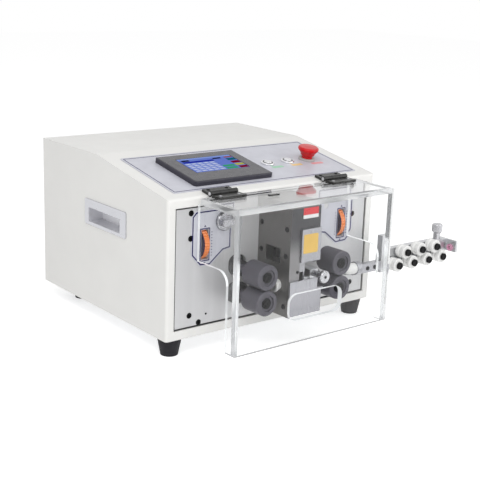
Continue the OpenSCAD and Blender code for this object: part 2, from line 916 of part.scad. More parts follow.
// Rails with grooves for the slide, bearing ears of the thumbwheel and the motor's plate
module side_frame() {
    groove_y = slide_y + slide_depth / 2;
    for (s = [-1, 1]) {
        inner = pair_x + s * (slide_w / 2 + slide_gap);
        outer = pair_x + s * (slide_w / 2 + slide_gap + rail_w);
        difference() {
            block([min(inner, outer), back_y, rail_low], [max(inner, outer), motor_plate_y, rail_top]);
            block([pair_x - slide_w / 2 - tongue - slide_gap, groove_y - 3 - slide_gap, rail_low - over],
                  [pair_x + slide_w / 2 + tongue + slide_gap, groove_y + 3 + slide_gap, rail_top + over]);
        }
    }
    half = motor_w / 2;
    difference() {
        block([pair_x - half, motor_plate_y, lower_z - half],
              [pair_x + half, motor_plate_y + motor_plate_t, lower_z + half]);
        rod_y(motor_plate_y - over, motor_y + over, pair_x, lower_z, shaft_r + 2);
    }
    for (s = [-1, 1]) rod_y(back_y, motor_plate_y, pair_x + s * (half - 5), lower_z - half + 5, 4);
    for (x = [thumb_x - 12, thumb_x + 7]) difference() {
        block([x, back_y, thumb_z - 8], [x + 5, thumb_y + 8, thumb_z + 8]);
        rod_x(x - over, x + 5 + over, thumb_y, thumb_z, thumb_shaft_r + run_gap);
    }
}

// Bearing plates of the lead screw
module lead_plates() {
    half = motor_w / 2;
    for (z = [lead_low - lead_plate_t, lead_top]) difference() {
        block([mid_x - half, back_y, z], [mid_x + half, lead_y + half, z + lead_plate_t]);
        translate([mid_x, lead_y, z - over])
            cylinder(h = lead_plate_t + 2 * over, r = lead_d / 2 + run_gap);
    }
}

module drive_frame() {
    color([0.7, 0.71, 0.72]) {
        side_frame();
        on_right() side_frame();
        lead_plates();
    }
}

module motor_outline() {
    half = motor_w / 2;
    cut = 5;
    polygon([for (q = [0 : 3], k = [0, 1])
        let (p = k == 0 ? [half, half - cut] : [half - cut, half])
        [p.x * cos(90 * q) - p.y * sin(90 * q), p.x * sin(90 * q) + p.y * cos(90 * q)]]);
}

module feed_motor() {
    difference() {
        along_y(motor_y, motor_y + motor_len) translate([pair_x, lower_z]) motor_outline();
        rod_y(motor_y - over, motor_y + 20 + free_gap, pair_x, lower_z, bore_r);
    }
}

module feed_motors() {
    color([0.15, 0.15, 0.16]) {
        feed_motor();
        on_right() feed_motor();
    }
}

module lift_knob() {
    y0 = face_y - label_t - free_gap;
    r = knob_d / 2;
    color([0.62, 0.63, 0.65]) {
        turned_y(knob_x, knob_z) polygon([[0, y0 - 5], [r - 1.5, y0 - 5], [r, y0 - 3], [r, y0], [0, y0]]);
        along_y(y0 - knob_len, y0 - 4) translate([knob_x, knob_z])
            intersection() {
                circle(r - 1);
                square([2 * r, 8], center = true);
            }
        rod_y(y0 - 1, back_y + 6, knob_x, knob_z, knob_stem_r);
        rod_y(back_y + free_gap, back_y + 6, knob_x, knob_z, knob_stem_r + 3);
    }
}

// Cutter

bush_r = 6;
window_y = [-45.5, -15.5];
plate_low = wire_z + 33;
plate_high = bridge_z + 9;
guard_high = wire_z + 8;

module cutter_seat() {
    channel_0 = mid_x - channel_w / 2;
    channel_1 = mid_x + channel_w / 2;
    window = [wire_z + 29.5, wire_z + 50];
    color([0.4, 0.39, 0.38]) difference() {
        union() {
            block([seat_x, -seat_reach, seat_low], [channel_0, face_y, seat_top]);
            block([channel_1, right_cheek_y, seat_low], [channel_1 + right_cheek_t, face_y, seat_top]);
            block([channel_0 - over, -seat_reach, bridge_z], [channel_1, face_y, seat_top]);
            block([channel_1 - over, right_cheek_y, bridge_z], [channel_1 + over, face_y, seat_top]);
        }
        block([seat_x - over, window_y[0], window[0]], [channel_0 + over, window_y[1], window[1]]);
        rod_x(seat_x - over, channel_0 + over, wire_y, wire_z, bush_r);
    }
}

// Upper plate, and stepped lower plate in front of the blades
module seat_plates() {
    y1 = -seat_reach;
    y0 = y1 - seat_plate_t;
    x0 = mid_x - channel_w / 2;
    x1 = mid_x + channel_w / 2;
    step_x = x1 - 3;
    color([0.76, 0.76, 0.78]) {
        block([x0, y0, plate_low], [x1, y1, plate_high]);
        along_y(y0, y1) polygon([
            [seat_x, seat_low], [x1 + right_cheek_t, seat_low], [x1 + right_cheek_t, wire_z - 6.5],
            [step_x, wire_z - 6.5], [step_x, guard_high], [seat_x, guard_high]]);
    }
}

// White bush in the left cheek and white funnel in front of the right rollers
module wire_bushes() {
    flange_x = seat_x - 10;
    color([0.94, 0.94, 0.93]) {
        turned_x(wire_y, wire_z) polygon([
            [wire_hole_r + 3, flange_x], [10, flange_x], [10, flange_x + 3], [bush_r + 1.5, seat_x],
            [bush_r, seat_x], [bush_r, seat_x + cheek_t], [wire_hole_r, seat_x + cheek_t],
            [wire_hole_r, flange_x + 6]]);
        turned_x(wire_y, wire_z) polygon([
            [wire_hole_r, bracket_x - 20], [wire_hole_r + 1.5, bracket_x - 20], [funnel_r, bracket_x - 8],
            [funnel_r, bracket_x], [wire_hole_r, bracket_x]]);
    }
}

// Guide tube for the wire in its clamp
module guide_clamp() {
    color([0.7, 0.7, 0.72]) difference() {
        union() {
            block([clamp_x, clamp_front, wire_z - 7], [clamp_x + clamp_w, right_cheek_y, wire_z + 13]);
            rod_x(mid_x + 6, pair_x + feed_span - roller_d / 2 - 2, wire_y, wire_z, tube_d / 2);
        }
        rod_x(mid_x, pair_x + feed_span, wire_y, wire_z, tube_bore / 2);
        rod_y(clamp_front - over, right_cheek_y - 4, thumb_screw_x, thumb_screw_z, stud_r + run_gap);
    }
}

// Knurled screw that closes the clamp
module thumb_screw() {
    y0 = clamp_front - 24;
    y1 = clamp_front - 0.1;
    y2 = right_cheek_y - 4 - free_gap;
    r = thumb_screw_d / 2;
    shank_r = stud_r + 2;
    color([0.7, 0.7, 0.72]) turned_y(thumb_screw_x, thumb_screw_z) polygon([
        [0, y0], [r - 1, y0], [r, y0 + 1], [r, y0 + 6], [r - 1, y0 + 7], [shank_r, y0 + 7],
        [shank_r, y1], [stud_r, y1], [stud_r, y2], [0, y2]]);
}

lead_collar_r = lead_d / 2 + 3;

module lead_screw() {
    color([0.72, 0.72, 0.74]) {
        translate([mid_x, lead_y, lead_low - lead_plate_t])
            cylinder(h = lead_top - lead_low + 2 * lead_plate_t + lead_stub, d = lead_d);
        for (z = [lead_low + 0.2, lead_top - 4.2])
            translate([mid_x, lead_y, z]) cylinder(h = 4, r = lead_collar_r);
    }
}

// A slide block between the cheeks, its arm through the front plate and its nut on the lead screw
module blade_slide(low, height, nut_z, front_x) {
    gap = slide_gap;
    difference() {
        union() {
            block([mid_x - channel_w / 2 + gap, right_cheek_y, low],
                  [mid_x + channel_w / 2 - gap, -8, low + height]);
            block([front_x, -slider_front, low], [front_x + 12, right_cheek_y + over, low + height]);
            block([mid_x - arm_w / 2, -8 - over, nut_z], [mid_x + arm_w / 2, lead_y, nut_z + nut_h]);
            translate([mid_x, lead_y, nut_z]) cylinder(h = nut_h, r = nut_r);
        }
        translate([mid_x, lead_y, nut_z - over]) cylinder(h = nut_h + 2 * over, r = lead_d / 2 + run_gap);
    }
}

low_slider_z = wire_z - 17.5 - low_slider_h;

module upper_blade_slide() {
    color([0.5, 0.5, 0.52])
        blade_slide(slider_z, slider_h, slider_z + 8, mid_x - blade_gap / 2 - blade_t - 12);
}

module lower_blade_slide() {
    color([0.5, 0.5, 0.52])
        blade_slide(low_slider_z, low_slider_h, low_slider_z + 8, mid_x + blade_gap / 2 + blade_t);
}

// Blade with a notch that closes on the wire, pointing down
module blade_outline(height) {
    half = blade_w / 2;
    polygon([[-half, blade_open], [-notch, blade_open], [0, blade_open + notch], [notch, blade_open],
             [half, blade_open], [half, height], [-half, height]]);
}

module upper_blade() {
    color([0.85, 0.86, 0.88]) along_x(mid_x - blade_gap / 2 - blade_t, mid_x - blade_gap / 2)
        translate([wire_y, wire_z]) blade_outline(upper_blade_len);
}

module lower_blade() {
    color([0.85, 0.86, 0.88]) along_x(mid_x + blade_gap / 2, mid_x + blade_gap / 2 + blade_t)
        translate([wire_y, wire_z]) mirror([0, 1]) blade_outline(lower_blade_len);
}

module blade_motor() {
    low = lead_top + lead_plate_t;
    color([0.15, 0.15, 0.16]) translate([mid_x, lead_y, low]) difference() {
        linear_extrude(hmi_under - motor_room - low) motor_outline();
        translate([0, 0, -over]) cylinder(h = lead_stub + over + free_gap, r = lead_d / 2 + run_gap);
    }
}

// Straightener

// Bar that carries the straightener, with its foot on the front plate and the holder of the funnel
module straightener_bracket() {
    x1 = bracket_x + bracket_w;
    color([0.62, 0.62, 0.62]) difference() {
        union() {
            block([bracket_x - 4, face_y - 6, bar_z[0] - 3], [x1 + 12, face_y, bar_z[1] + 5]);
            block([bracket_x, bar_back - over, bar_z[0]], [x1, face_y - 5, bar_z[1]]);
            along_x(bracket_x, x1) {
                translate([wire_y, wire_z]) circle(funnel_r + 1.5);
                polygon([[wire_y, wire_z - funnel_r - 1.5], [bar_back, bar_z[0]], [bar_back, bar_z[1]],
                         [wire_y, wire_z + funnel_r + 1.5]]);
            }
            block([x1 - over, bar_front, bar_z[0]], [base_x, bar_back, bar_z[1]]);
        }
        rod_x(bracket_x - over, x1 + over, wire_y, wire_z, wire_hole_r);
    }
}

module axle(x, z) {
    rod_y(wheel_front - free_gap, bar_front + over, x, z, axle_r);
    rod_y(wheel_back + 0.3, bar_front + over, x, z, axle_r + 1.5);
    turned_y(x, z) polygon([
        [0, wheel_front - 3.5], [4, wheel_front - 3.5], [4.8, wheel_front - 2.5],
        [4.8, wheel_front - free_gap], [0, wheel_front - free_gap]]);
}

module straightener_base() {
    end_low = wire_z - 6;
    end_high = wire_z + 12;
    color([0.74, 0.74, 0.76]) {
        difference() {
            union() {
                block([base_x, bar_back, base_low], [end_x, base_back, top_bar_high - 2]);
                block([base_x, bar_front, base_low], [end_x, bar_back + over, wire_z - 4]);
                block([base_x, bar_front, base_low], [post_x, bar_back + over, post_high]);
                block([top_bar_x1 + slide_gap, bar_front, base_low], [end_x, bar_back + over, end_high]);
                block([end_x, wire_y - 11, end_low], [end_x + end_t, base_back, end_high]);
            }
            rod_x(end_x - over, end_x + end_t + over, wire_y, wire_z, eyelet_bore / 2 + 1.5);
            translate([adjust_x, (bar_front + bar_back) / 2, base_low + 3])
                cylinder(h = 40, r = adjust_r + run_gap);
        }
        for (i = [0 : 3]) axle(wheel_x + i * wheel_pitch, low_row_z);
    }
}

module wire_eyelet() {
    r = eyelet_bore / 2;
    color([0.75, 0.45, 0.58]) turned_x(wire_y, wire_z) polygon([
        [r, end_x - eyelet_flange], [r + 3, end_x - eyelet_flange], [r + 3, end_x], [r + 1.5, end_x],
        [r + 1.5, end_x + end_t], [r + 3, end_x + end_t], [r + 3, end_x + end_t + eyelet_flange],
        [r, end_x + end_t + eyelet_flange]]);
}

wheel_paint = [0.95, 0.95, 0.94];

// Grooved wheel
module wheel(x, z) {
    r = wheel_d / 2;
    y0 = wheel_front;
    y1 = wheel_back;
    bore = axle_r + run_gap;
    turned_y(x, z) polygon([
        [bore, y0], [r - 1, y0], [r, y0 + 1], [r, wire_y - 2.5], [r - 2, wire_y - 0.5],
        [r - 2, wire_y + 0.5], [r, wire_y + 2.5], [r, y1 - 1], [r - 1, y1], [bore, y1]]);
}

module lower_wheel(i) {
    wheel(wheel_x + i * wheel_pitch, low_row_z);
}

module upper_wheel(i) {
    wheel(wheel_x + (i + 0.5) * wheel_pitch, top_row_z);
}

module lower_wheel_1() {
    color(wheel_paint) lower_wheel(0);
}

module lower_wheel_2() {
    color(wheel_paint) lower_wheel(1);
}

module lower_wheel_3() {
    color(wheel_paint) lower_wheel(2);
}

module lower_wheel_4() {
    color(wheel_paint) lower_wheel(3);
}

module upper_wheel_1() {
    color(wheel_paint) upper_wheel(0);
}

module upper_wheel_2() {
    color(wheel_paint) upper_wheel(1);
}

module upper_wheel_3() {
    color(wheel_paint) upper_wheel(2);
}

module upper_wheel_bar() {
    color([0.74, 0.74, 0.76]) {
        difference() {
            block([post_x + slide_gap, bar_front, top_bar_low],
                  [top_bar_x1, bar_back - slide_gap, top_bar_high]);
            translate([adjust_x, (bar_front + bar_back) / 2, top_bar_low - over])
                cylinder(h = top_bar_high - top_bar_low + 2 * over, r = adjust_r + run_gap);
        }
        for (i = [0 : 2]) axle(wheel_x + (i + 0.5) * wheel_pitch, top_row_z);
    }
}

module adjust_screw() {
    z = top_bar_high;
    y = (bar_front + bar_back) / 2;
    r = adjust_knob_d / 2;
    color([0.75, 0.75, 0.77]) translate([adjust_x, y, 0]) rotate_extrude() polygon([
        [0, base_low + 4], [adjust_r, base_low + 4], [adjust_r, z + run_gap], [r - 2, z + run_gap],
        [r - 2, z + 9], [r - 1, z + 10], [r, z + 11.5], [r, z + 22.5], [r - 1, z + 23.5], [0, z + 23.5]]);
}

// Electrics

supply_x = 30;
supply_len = 98;
supply_h = 42;
terminal_w = 10;
board_w = 140;
board_len = 110;
board_x = cab_w - board_w - 25;
board_gap = 15;
supply_w = board_x - board_gap - supply_x;
vents = 7;
post_r = 3;
board_rise = 12;

module power_supply() {
    low = [supply_x, cab_d - supply_len - 37, sheet_t];
    pitch = (supply_w - terminal_w - 24) / vents;
    color([0.66, 0.67, 0.68]) difference() {
        block(low, low + [supply_w, supply_len, supply_h]);
        for (i = [0 : vents - 1]) block(low + [20 + i * pitch, 12, supply_h - 2],
                                        low + [20 + (i + 0.55) * pitch, supply_len - 12, supply_h + over]);
        block(low + [supply_w - terminal_w, 8, supply_h / 3],
              low + [supply_w + over, supply_len - 8, supply_h + over]);
    }
}

module control_board() {
    low = [board_x, cab_d - board_len - 55, sheet_t];
    color([0.1, 0.4, 0.22]) {
        translate([0, 0, board_rise]) block(low, low + [board_w, board_len, 1.6]);
        for (x = [6, board_w - 6], y = [6, board_len - 6])
            translate(low + [x, y, 0]) cylinder(h = board_rise + 0.5, r = post_r);
        for (i = [0 : 2])
            translate(low + [20 + i * board_w / 3.5, 20, board_rise + 1]) cube([24, 40, 18]);
        translate(low + [30, board_len - 30, board_rise + 1]) cube([30, 20, 5]);
    }
}

rocker_y = cab_d + inlet_proud - 7.5;
rocker_w = 17;
rocker_r = 7;
rocker_pin_r = 1.5;
rocker_room = rocker_r + 1.2;

// Inlet socket and the seat of the rocker switch, in one frame
module power_inlet() {
    half_w = inlet_w / 2;
    half_h = inlet_h / 2;
    back = cab_d + inlet_proud;
    color([0.1, 0.1, 0.1]) difference() {
        union() {
            along_y(cab_d, back)
                round_rect([inlet_x - half_w, inlet_z - half_h], [inlet_x + half_w, inlet_z + half_h], 3);
            block([inlet_x - half_w + 3, cab_d - 26, inlet_z - half_h + 3],
                  [inlet_x + half_w - 3, cab_d + 0.5, inlet_z + half_h - 3]);
        }
        block([inlet_x - 10, cab_d - 16, inlet_z - 18], [inlet_x + 10, back + over, inlet_z - 3]);
        block([inlet_x - rocker_w / 2 - free_gap, rocker_y - rocker_room, rocker_z - rocker_room],
              [inlet_x + rocker_w / 2 + free_gap, back + over, rocker_z + rocker_room]);
        rod_x(inlet_x - half_w, inlet_x + half_w, rocker_y, rocker_z, rocker_pin_r + run_gap);
    }
    for (x = [-5, 0, 5]) color([0.7, 0.7, 0.7])
        block([inlet_x + x - 1, cab_d - 17, inlet_z - 11], [inlet_x + x + 1, cab_d - 4, inlet_z - 9]);
}

// Rocker of the main switch, its upper half pressed in
module power_rocker() {
    half = rocker_w / 2;
    bow = [for (i = [0 : 12]) let (a = 90 + 15 * i) rocker_r * [cos(a), sin(a)]];
    rise = rocker_r * tan(rocker_tilt);
    color([0.7, 0.12, 0.1]) translate([0, rocker_y, rocker_z]) rotate([rocker_tilt, 0, 0]) {
        along_x(inlet_x - half, inlet_x + half)
            polygon(concat(bow, [[5 + rise, -rocker_r], [5, 0], [5 + rise, rocker_r]]));
        rod_x(inlet_x - half - 2, inlet_x + half + 2, 0, 0, rocker_pin_r);
    }
}

place() cabinet_shell();
place() base_plate();
place() rear_panel();
place() rubber_feet();
place() side_grips();
place() front_plate();
place() plate_screws();
place() control_overlay();
place() panel_labels();
place() hmi_housing();
place() hmi_screen();
place() button_bezels();
place() stop_collar();
place() hinge_fixed_leaves();
place() cutter_seat();
place() seat_plates();
place() wire_bushes();
place() guide_clamp();
place() thumb_screw();
place() straightener_bracket();
place() straightener_base();
place() wire_eyelet();
place() feed_motors();
place() shaft_bearings();
place() drive_frame();
place() blade_motor();
place() power_supply();
place() control_board();
place() power_inlet();
place() cover_front_plate();
place() cover_top_plate();
place() cover_side_plates();
place() hinge_moving_leaves();
place() power_rocker();
place() left_lower_roller();
place() left_upper_roller();
place() right_lower_roller();
place() right_upper_roller();
place() left_roller_slide();
place() right_roller_slide();
place() left_thumbwheel();
place() right_thumbwheel();
place() lift_knob();
place() lead_screw();
place() upper_blade_slide();
place() lower_blade_slide();
place() upper_blade();
place() lower_blade();
place() start_button();
place() stop_button();
place() stop_head();
place() lower_wheel_1();
place() lower_wheel_2();
place() lower_wheel_3();
place() lower_wheel_4();
place() upper_wheel_1();
place() upper_wheel_2();
place() upper_wheel_3();
place() upper_wheel_bar();
place() adjust_screw();
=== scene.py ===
# %% [markdown]
# # Dressing a wire cutting and stripping machine
#
# The construction model already holds every solid of the machine at its real size. In this lesson those
# solids stay where they are. They get finishes that look like paint, ground steel, clear acrylic and
# moulded plastic. Small pieces are added that a construction model leaves out: prints, screws, knurls and
# the picture on the screen.

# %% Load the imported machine
import json
import math

import bmesh
import bpy
from mathutils import Matrix, Vector


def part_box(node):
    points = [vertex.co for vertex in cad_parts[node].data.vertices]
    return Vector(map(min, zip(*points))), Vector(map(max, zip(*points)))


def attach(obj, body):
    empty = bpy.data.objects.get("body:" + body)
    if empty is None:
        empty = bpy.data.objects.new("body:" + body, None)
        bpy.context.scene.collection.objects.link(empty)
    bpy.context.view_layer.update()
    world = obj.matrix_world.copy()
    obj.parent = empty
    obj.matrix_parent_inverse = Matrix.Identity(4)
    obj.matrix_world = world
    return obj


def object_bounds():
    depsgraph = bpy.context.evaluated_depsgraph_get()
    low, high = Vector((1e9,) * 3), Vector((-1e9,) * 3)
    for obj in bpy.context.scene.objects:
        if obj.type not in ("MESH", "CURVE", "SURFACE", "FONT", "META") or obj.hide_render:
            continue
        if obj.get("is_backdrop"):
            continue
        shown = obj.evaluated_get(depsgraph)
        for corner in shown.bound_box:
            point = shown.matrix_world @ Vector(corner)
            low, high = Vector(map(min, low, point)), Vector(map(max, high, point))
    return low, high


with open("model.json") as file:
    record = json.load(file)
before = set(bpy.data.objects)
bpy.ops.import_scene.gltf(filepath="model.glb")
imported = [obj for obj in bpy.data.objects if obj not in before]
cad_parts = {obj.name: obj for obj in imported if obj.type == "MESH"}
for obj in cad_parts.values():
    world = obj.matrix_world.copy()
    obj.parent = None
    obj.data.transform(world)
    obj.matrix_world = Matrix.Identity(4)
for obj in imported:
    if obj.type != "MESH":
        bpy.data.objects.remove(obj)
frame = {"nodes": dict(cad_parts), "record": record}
cad_low, cad_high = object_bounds()
nodes = frame["nodes"]
cad_size = [round(v, 3) for v in cad_high - cad_low]
print("construction box, metres:", cad_size, "with", len(nodes), "nodes")

# %% [markdown]
# ## Working in the cabinet's own millimetres
#
# The model's origin is under the middle of the whole machine. For a maker it is easier to think in
# millimetres from the cabinet's lower front left corner, so one function turns such a place into Blender's
# metres. Flat surfaces get a frame of their own: u and v run over the surface and w points out of it. A
# print or a screw could be built in place, but drawn flat and then laid on its face it needs no sums.

# %% Places and faces
MM = 0.001
CABINET_W, CABINET_H, FRONT_H = 370.0, 223.0, 191.5
PANEL_RUN = 176.0
SLOPE = math.atan((CABINET_H - FRONT_H) / PANEL_RUN)
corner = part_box("cabinet_shell")[0]


def spot(x, y, z):
    return corner + Vector((x, y, z)) * MM


def face(u_way, v_way, w_way, x, y, z):
    """The frame of a flat surface: its three ways, and the place of its zero."""
    turn = Matrix((u_way, v_way, w_way)).transposed().to_4x4()
    return Matrix.Translation(spot(x, y, z)) @ turn @ Matrix.Scale(MM, 4)


def facing_front(y):
    return face((1, 0, 0), (0, 0, 1), (0, -1, 0), 0, y, 0)


def facing_back(y):
    return face((-1, 0, 0), (0, 0, 1), (0, 1, 0), 0, y, 0)


def facing_left(x):
    return face((0, -1, 0), (0, 0, 1), (-1, 0, 0), x, 0, 0)


def facing_right(x):
    return face((0, 1, 0), (0, 0, 1), (1, 0, 0), x, 0, 0)


def facing_up(z):
    return face((1, 0, 0), (0, 1, 0), (0, 0, 1), 0, 0, z)


def on_panel(lift):
    """The sloping panel: u across, v up the slope, and the surface lift above the paint."""
    up = (0, math.cos(SLOPE), math.sin(SLOPE))
    off = (0, -math.sin(SLOPE), math.cos(SLOPE))
    return face((1, 0, 0), up, off, 0, 0, FRONT_H) @ Matrix.Translation((0, 0, lift))


print("slope of the control panel:", round(math.degrees(SLOPE), 2), "degrees")

# %% [markdown]
# ## The camera
#
# The photograph was taken from the front left, a little above the machine, with a long lens. A camera could
# be moved by eye until it looks right. Here its place, lens and small tilt were fitted to the cabinet's
# corners instead, so that the render can be laid over the photograph and compared.

# %% Camera
CAMERA_AZIMUTH = math.radians(38.73)
CAMERA_DOWN = math.radians(14.81)
CAMERA_ROLL = math.radians(2.0)
CAMERA_PLACE = (-712.5, -1037.0, 475.2)
FOCAL_PIXELS = 1015.8
IMAGE_PIXELS = 480
SENSOR = 36.0


def camera_matrix():
    a, e = CAMERA_AZIMUTH, CAMERA_DOWN
    ahead = Vector((math.sin(a) * math.cos(e), math.cos(a) * math.cos(e), -math.sin(e)))
    right = Vector((math.cos(a), -math.sin(a), 0))
    up = right.cross(ahead)
    c, s = math.cos(CAMERA_ROLL), math.sin(CAMERA_ROLL)
    tilted_right, tilted_up = c * right + s * up, c * up - s * right
    turn = Matrix((tilted_right, tilted_up, -ahead)).transposed().to_4x4()
    return Matrix.Translation(spot(*CAMERA_PLACE)) @ turn


camera_data = bpy.data.cameras.new("photo_camera")
camera_data.lens = SENSOR * FOCAL_PIXELS / IMAGE_PIXELS
camera_data.sensor_width = SENSOR
camera_data.clip_start = 0.01
camera_data.dof.use_dof = False
camera = bpy.data.objects.new("photo_camera", camera_data)
camera.matrix_world = camera_matrix()
bpy.context.scene.collection.objects.link(camera)
bpy.context.scene.camera = camera
bpy.context.scene.view_settings.view_transform = "Standard"
print("lens:", round(camera_data.lens, 1), "mm")

# %% [markdown]
# ## Nodes that make a finish
#
# A finish is a small network of shader nodes. These helpers keep the networks short: one makes the shader,
# one adds a noise in the object's own coordinates, and the others let that noise steer colour, gloss and
# bump. A picture could do the same, but a noise has no seams and no size. The model is in metres, so a
# noise of scale 900 has spots about a millimetre wide.


# %% Shader and noise
def new_finish(name, color, rough, metal=0.0):
    made = bpy.data.materials.new(name)
    made.use_nodes = True
    tree = made.node_tree
    shader = tree.nodes["Principled BSDF"]
    shader.inputs["Base Color"].default_value = (*color, 1)
    shader.inputs["Roughness"].default_value = rough
    shader.inputs["Metallic"].default_value = metal
    return made, tree, shader


def noise(tree, scale, stretch=(1, 1, 1), detail=3.0):
    place = tree.nodes.new("ShaderNodeTexCoord")
    mapping = tree.nodes.new("ShaderNodeMapping")
    mapping.inputs["Scale"].default_value = stretch
    texture = tree.nodes.new("ShaderNodeTexNoise")
    texture.inputs["Scale"].default_value = scale
    texture.inputs["Detail"].default_value = detail
    tree.links.new(place.outputs["Object"], mapping.inputs["Vector"])
    tree.links.new(mapping.outputs["Vector"], texture.inputs["Vector"])
    return texture.outputs["Fac"]


print("helpers for a shader and its noise are ready")

# %% Colour and gloss from a noise
NOISE_LOW, NOISE_HIGH = 0.3, 0.7


def tint(color, factor):
    return tuple(min(1, c * factor) for c in color)


def spread(tree, value, low, high):
    """A noise value, mapped from its usual range to the range low to high."""
    mapped = tree.nodes.new("ShaderNodeMapRange")
    mapped.inputs["From Min"].default_value = NOISE_LOW
    mapped.inputs["From Max"].default_value = NOISE_HIGH
    mapped.inputs["To Min"].default_value = low
    mapped.inputs["To Max"].default_value = high
    tree.links.new(value, mapped.inputs["Value"])
    return mapped.outputs["Result"]


def mix_colors(tree, share, first, second):
    mix = tree.nodes.new("ShaderNodeMix")
    mix.data_type = "RGBA"
    mix.inputs["A"].default_value = (*first, 1)
    mix.inputs["B"].default_value = (*second, 1)
    tree.links.new(share, mix.inputs["Factor"])
    return mix.outputs["Result"]


def vary_color(tree, shader, value, color, darker, lighter, socket="Base Color"):
    """The colour wanders between two tints of itself, as the noise does."""
    share = spread(tree, value, 0, 1)
    mixed = mix_colors(tree, share, tint(color, darker), tint(color, lighter))
    tree.links.new(mixed, shader.inputs[socket])


def vary_gloss(tree, shader, value, low, high):
    tree.links.new(spread(tree, value, low, high), shader.inputs["Roughness"])


print("noise values from", NOISE_LOW, "to", NOISE_HIGH, "are spread over a finish")


# %% Bump and soft edges
def bump(tree, shader, value, strength, depth, edge):
    """Bump from a grey value, over edges rounded by the radius edge in metres."""
    made = tree.nodes.new("ShaderNodeBump")
    made.inputs["Strength"].default_value = strength
    made.inputs["Distance"].default_value = depth
    tree.links.new(value, made.inputs["Height"])
    rounded = tree.nodes.new("ShaderNodeBevel")
    rounded.samples = 4
    rounded.inputs["Radius"].default_value = edge
    tree.links.new(rounded.outputs["Normal"], made.inputs["Normal"])
    tree.links.new(made.outputs["Normal"], shader.inputs["Normal"])


print("helper for bump is ready")

# %% [markdown]
# ## Paint, steel and plastic
#
# Four recipes cover most of the machine. Sheet metal has powder paint with a fine orange skin. Ground steel
# has long thin scratches, made by stretching the noise along one axis. Blasted steel has an even fine
# grain. Moulded plastic has a soft grain and small changes of gloss where hands polish it. Each recipe is a
# function, so one change in it reaches every piece of that kind.


# %% Recipes for finishes
def painted(name, color, rough=0.42):
    made, tree, shader = new_finish(name, color, rough)
    vary_color(tree, shader, noise(tree, 14), color, 0.975, 1.015)
    vary_gloss(tree, shader, noise(tree, 60), rough - 0.05, rough + 0.07)
    bump(tree, shader, noise(tree, 1100), strength=0.12, depth=0.0002, edge=0.0008)
    return made


def ground(name, color, rough, stretch, metal=1.0, contrast=0.12):
    made, tree, shader = new_finish(name, color, rough, metal)
    scratches = noise(tree, 1, stretch, 4)
    vary_color(tree, shader, scratches, color, 1 - contrast, 1 + contrast)
    vary_gloss(tree, shader, scratches, rough - 0.08, rough + 0.1)
    bump(tree, shader, scratches, strength=0.1, depth=0.0001, edge=0.0004)
    return made


def blasted(name, color, rough, metal=1.0, shine=0.5, stretch=(1, 1, 1)):
    made, tree, shader = new_finish(name, color, rough, metal)
    shader.inputs["Specular IOR Level"].default_value = shine
    vary_color(tree, shader, noise(tree, 22, stretch, 5), color, 0.94, 1.04)
    vary_gloss(tree, shader, noise(tree, 400), rough - 0.06, rough + 0.08)
    bump(tree, shader, noise(tree, 2400), strength=0.15, depth=0.0001, edge=0.0004)
    return made


def moulded(name, color, rough, coat=0.0, grain=1500, shine=0.5):
    made, tree, shader = new_finish(name, color, rough)
    shader.inputs["Specular IOR Level"].default_value = shine
    shader.inputs["Coat Weight"].default_value = coat
    shader.inputs["Coat Roughness"].default_value = 0.12
    vary_color(tree, shader, noise(tree, 45), color, 0.94, 1.05)
    vary_gloss(tree, shader, noise(tree, 120), rough - 0.06, rough + 0.08)
    bump(tree, shader, noise(tree, grain), strength=0.1, depth=0.0001, edge=0.0005)
    return made


print("recipes for paint, ground steel, blasted steel and plastic are ready")

# %% [markdown]
# ## One finish for each kind of solid
#
# The machine's record gives every solid a slot, such as white_paint or black_screw. The list below has one
# finish for each slot. The colours are written as they look in plain light, and a metal's colour is the
# colour of what it reflects. A solid's finish is looked up by its slot, so none is named twice.

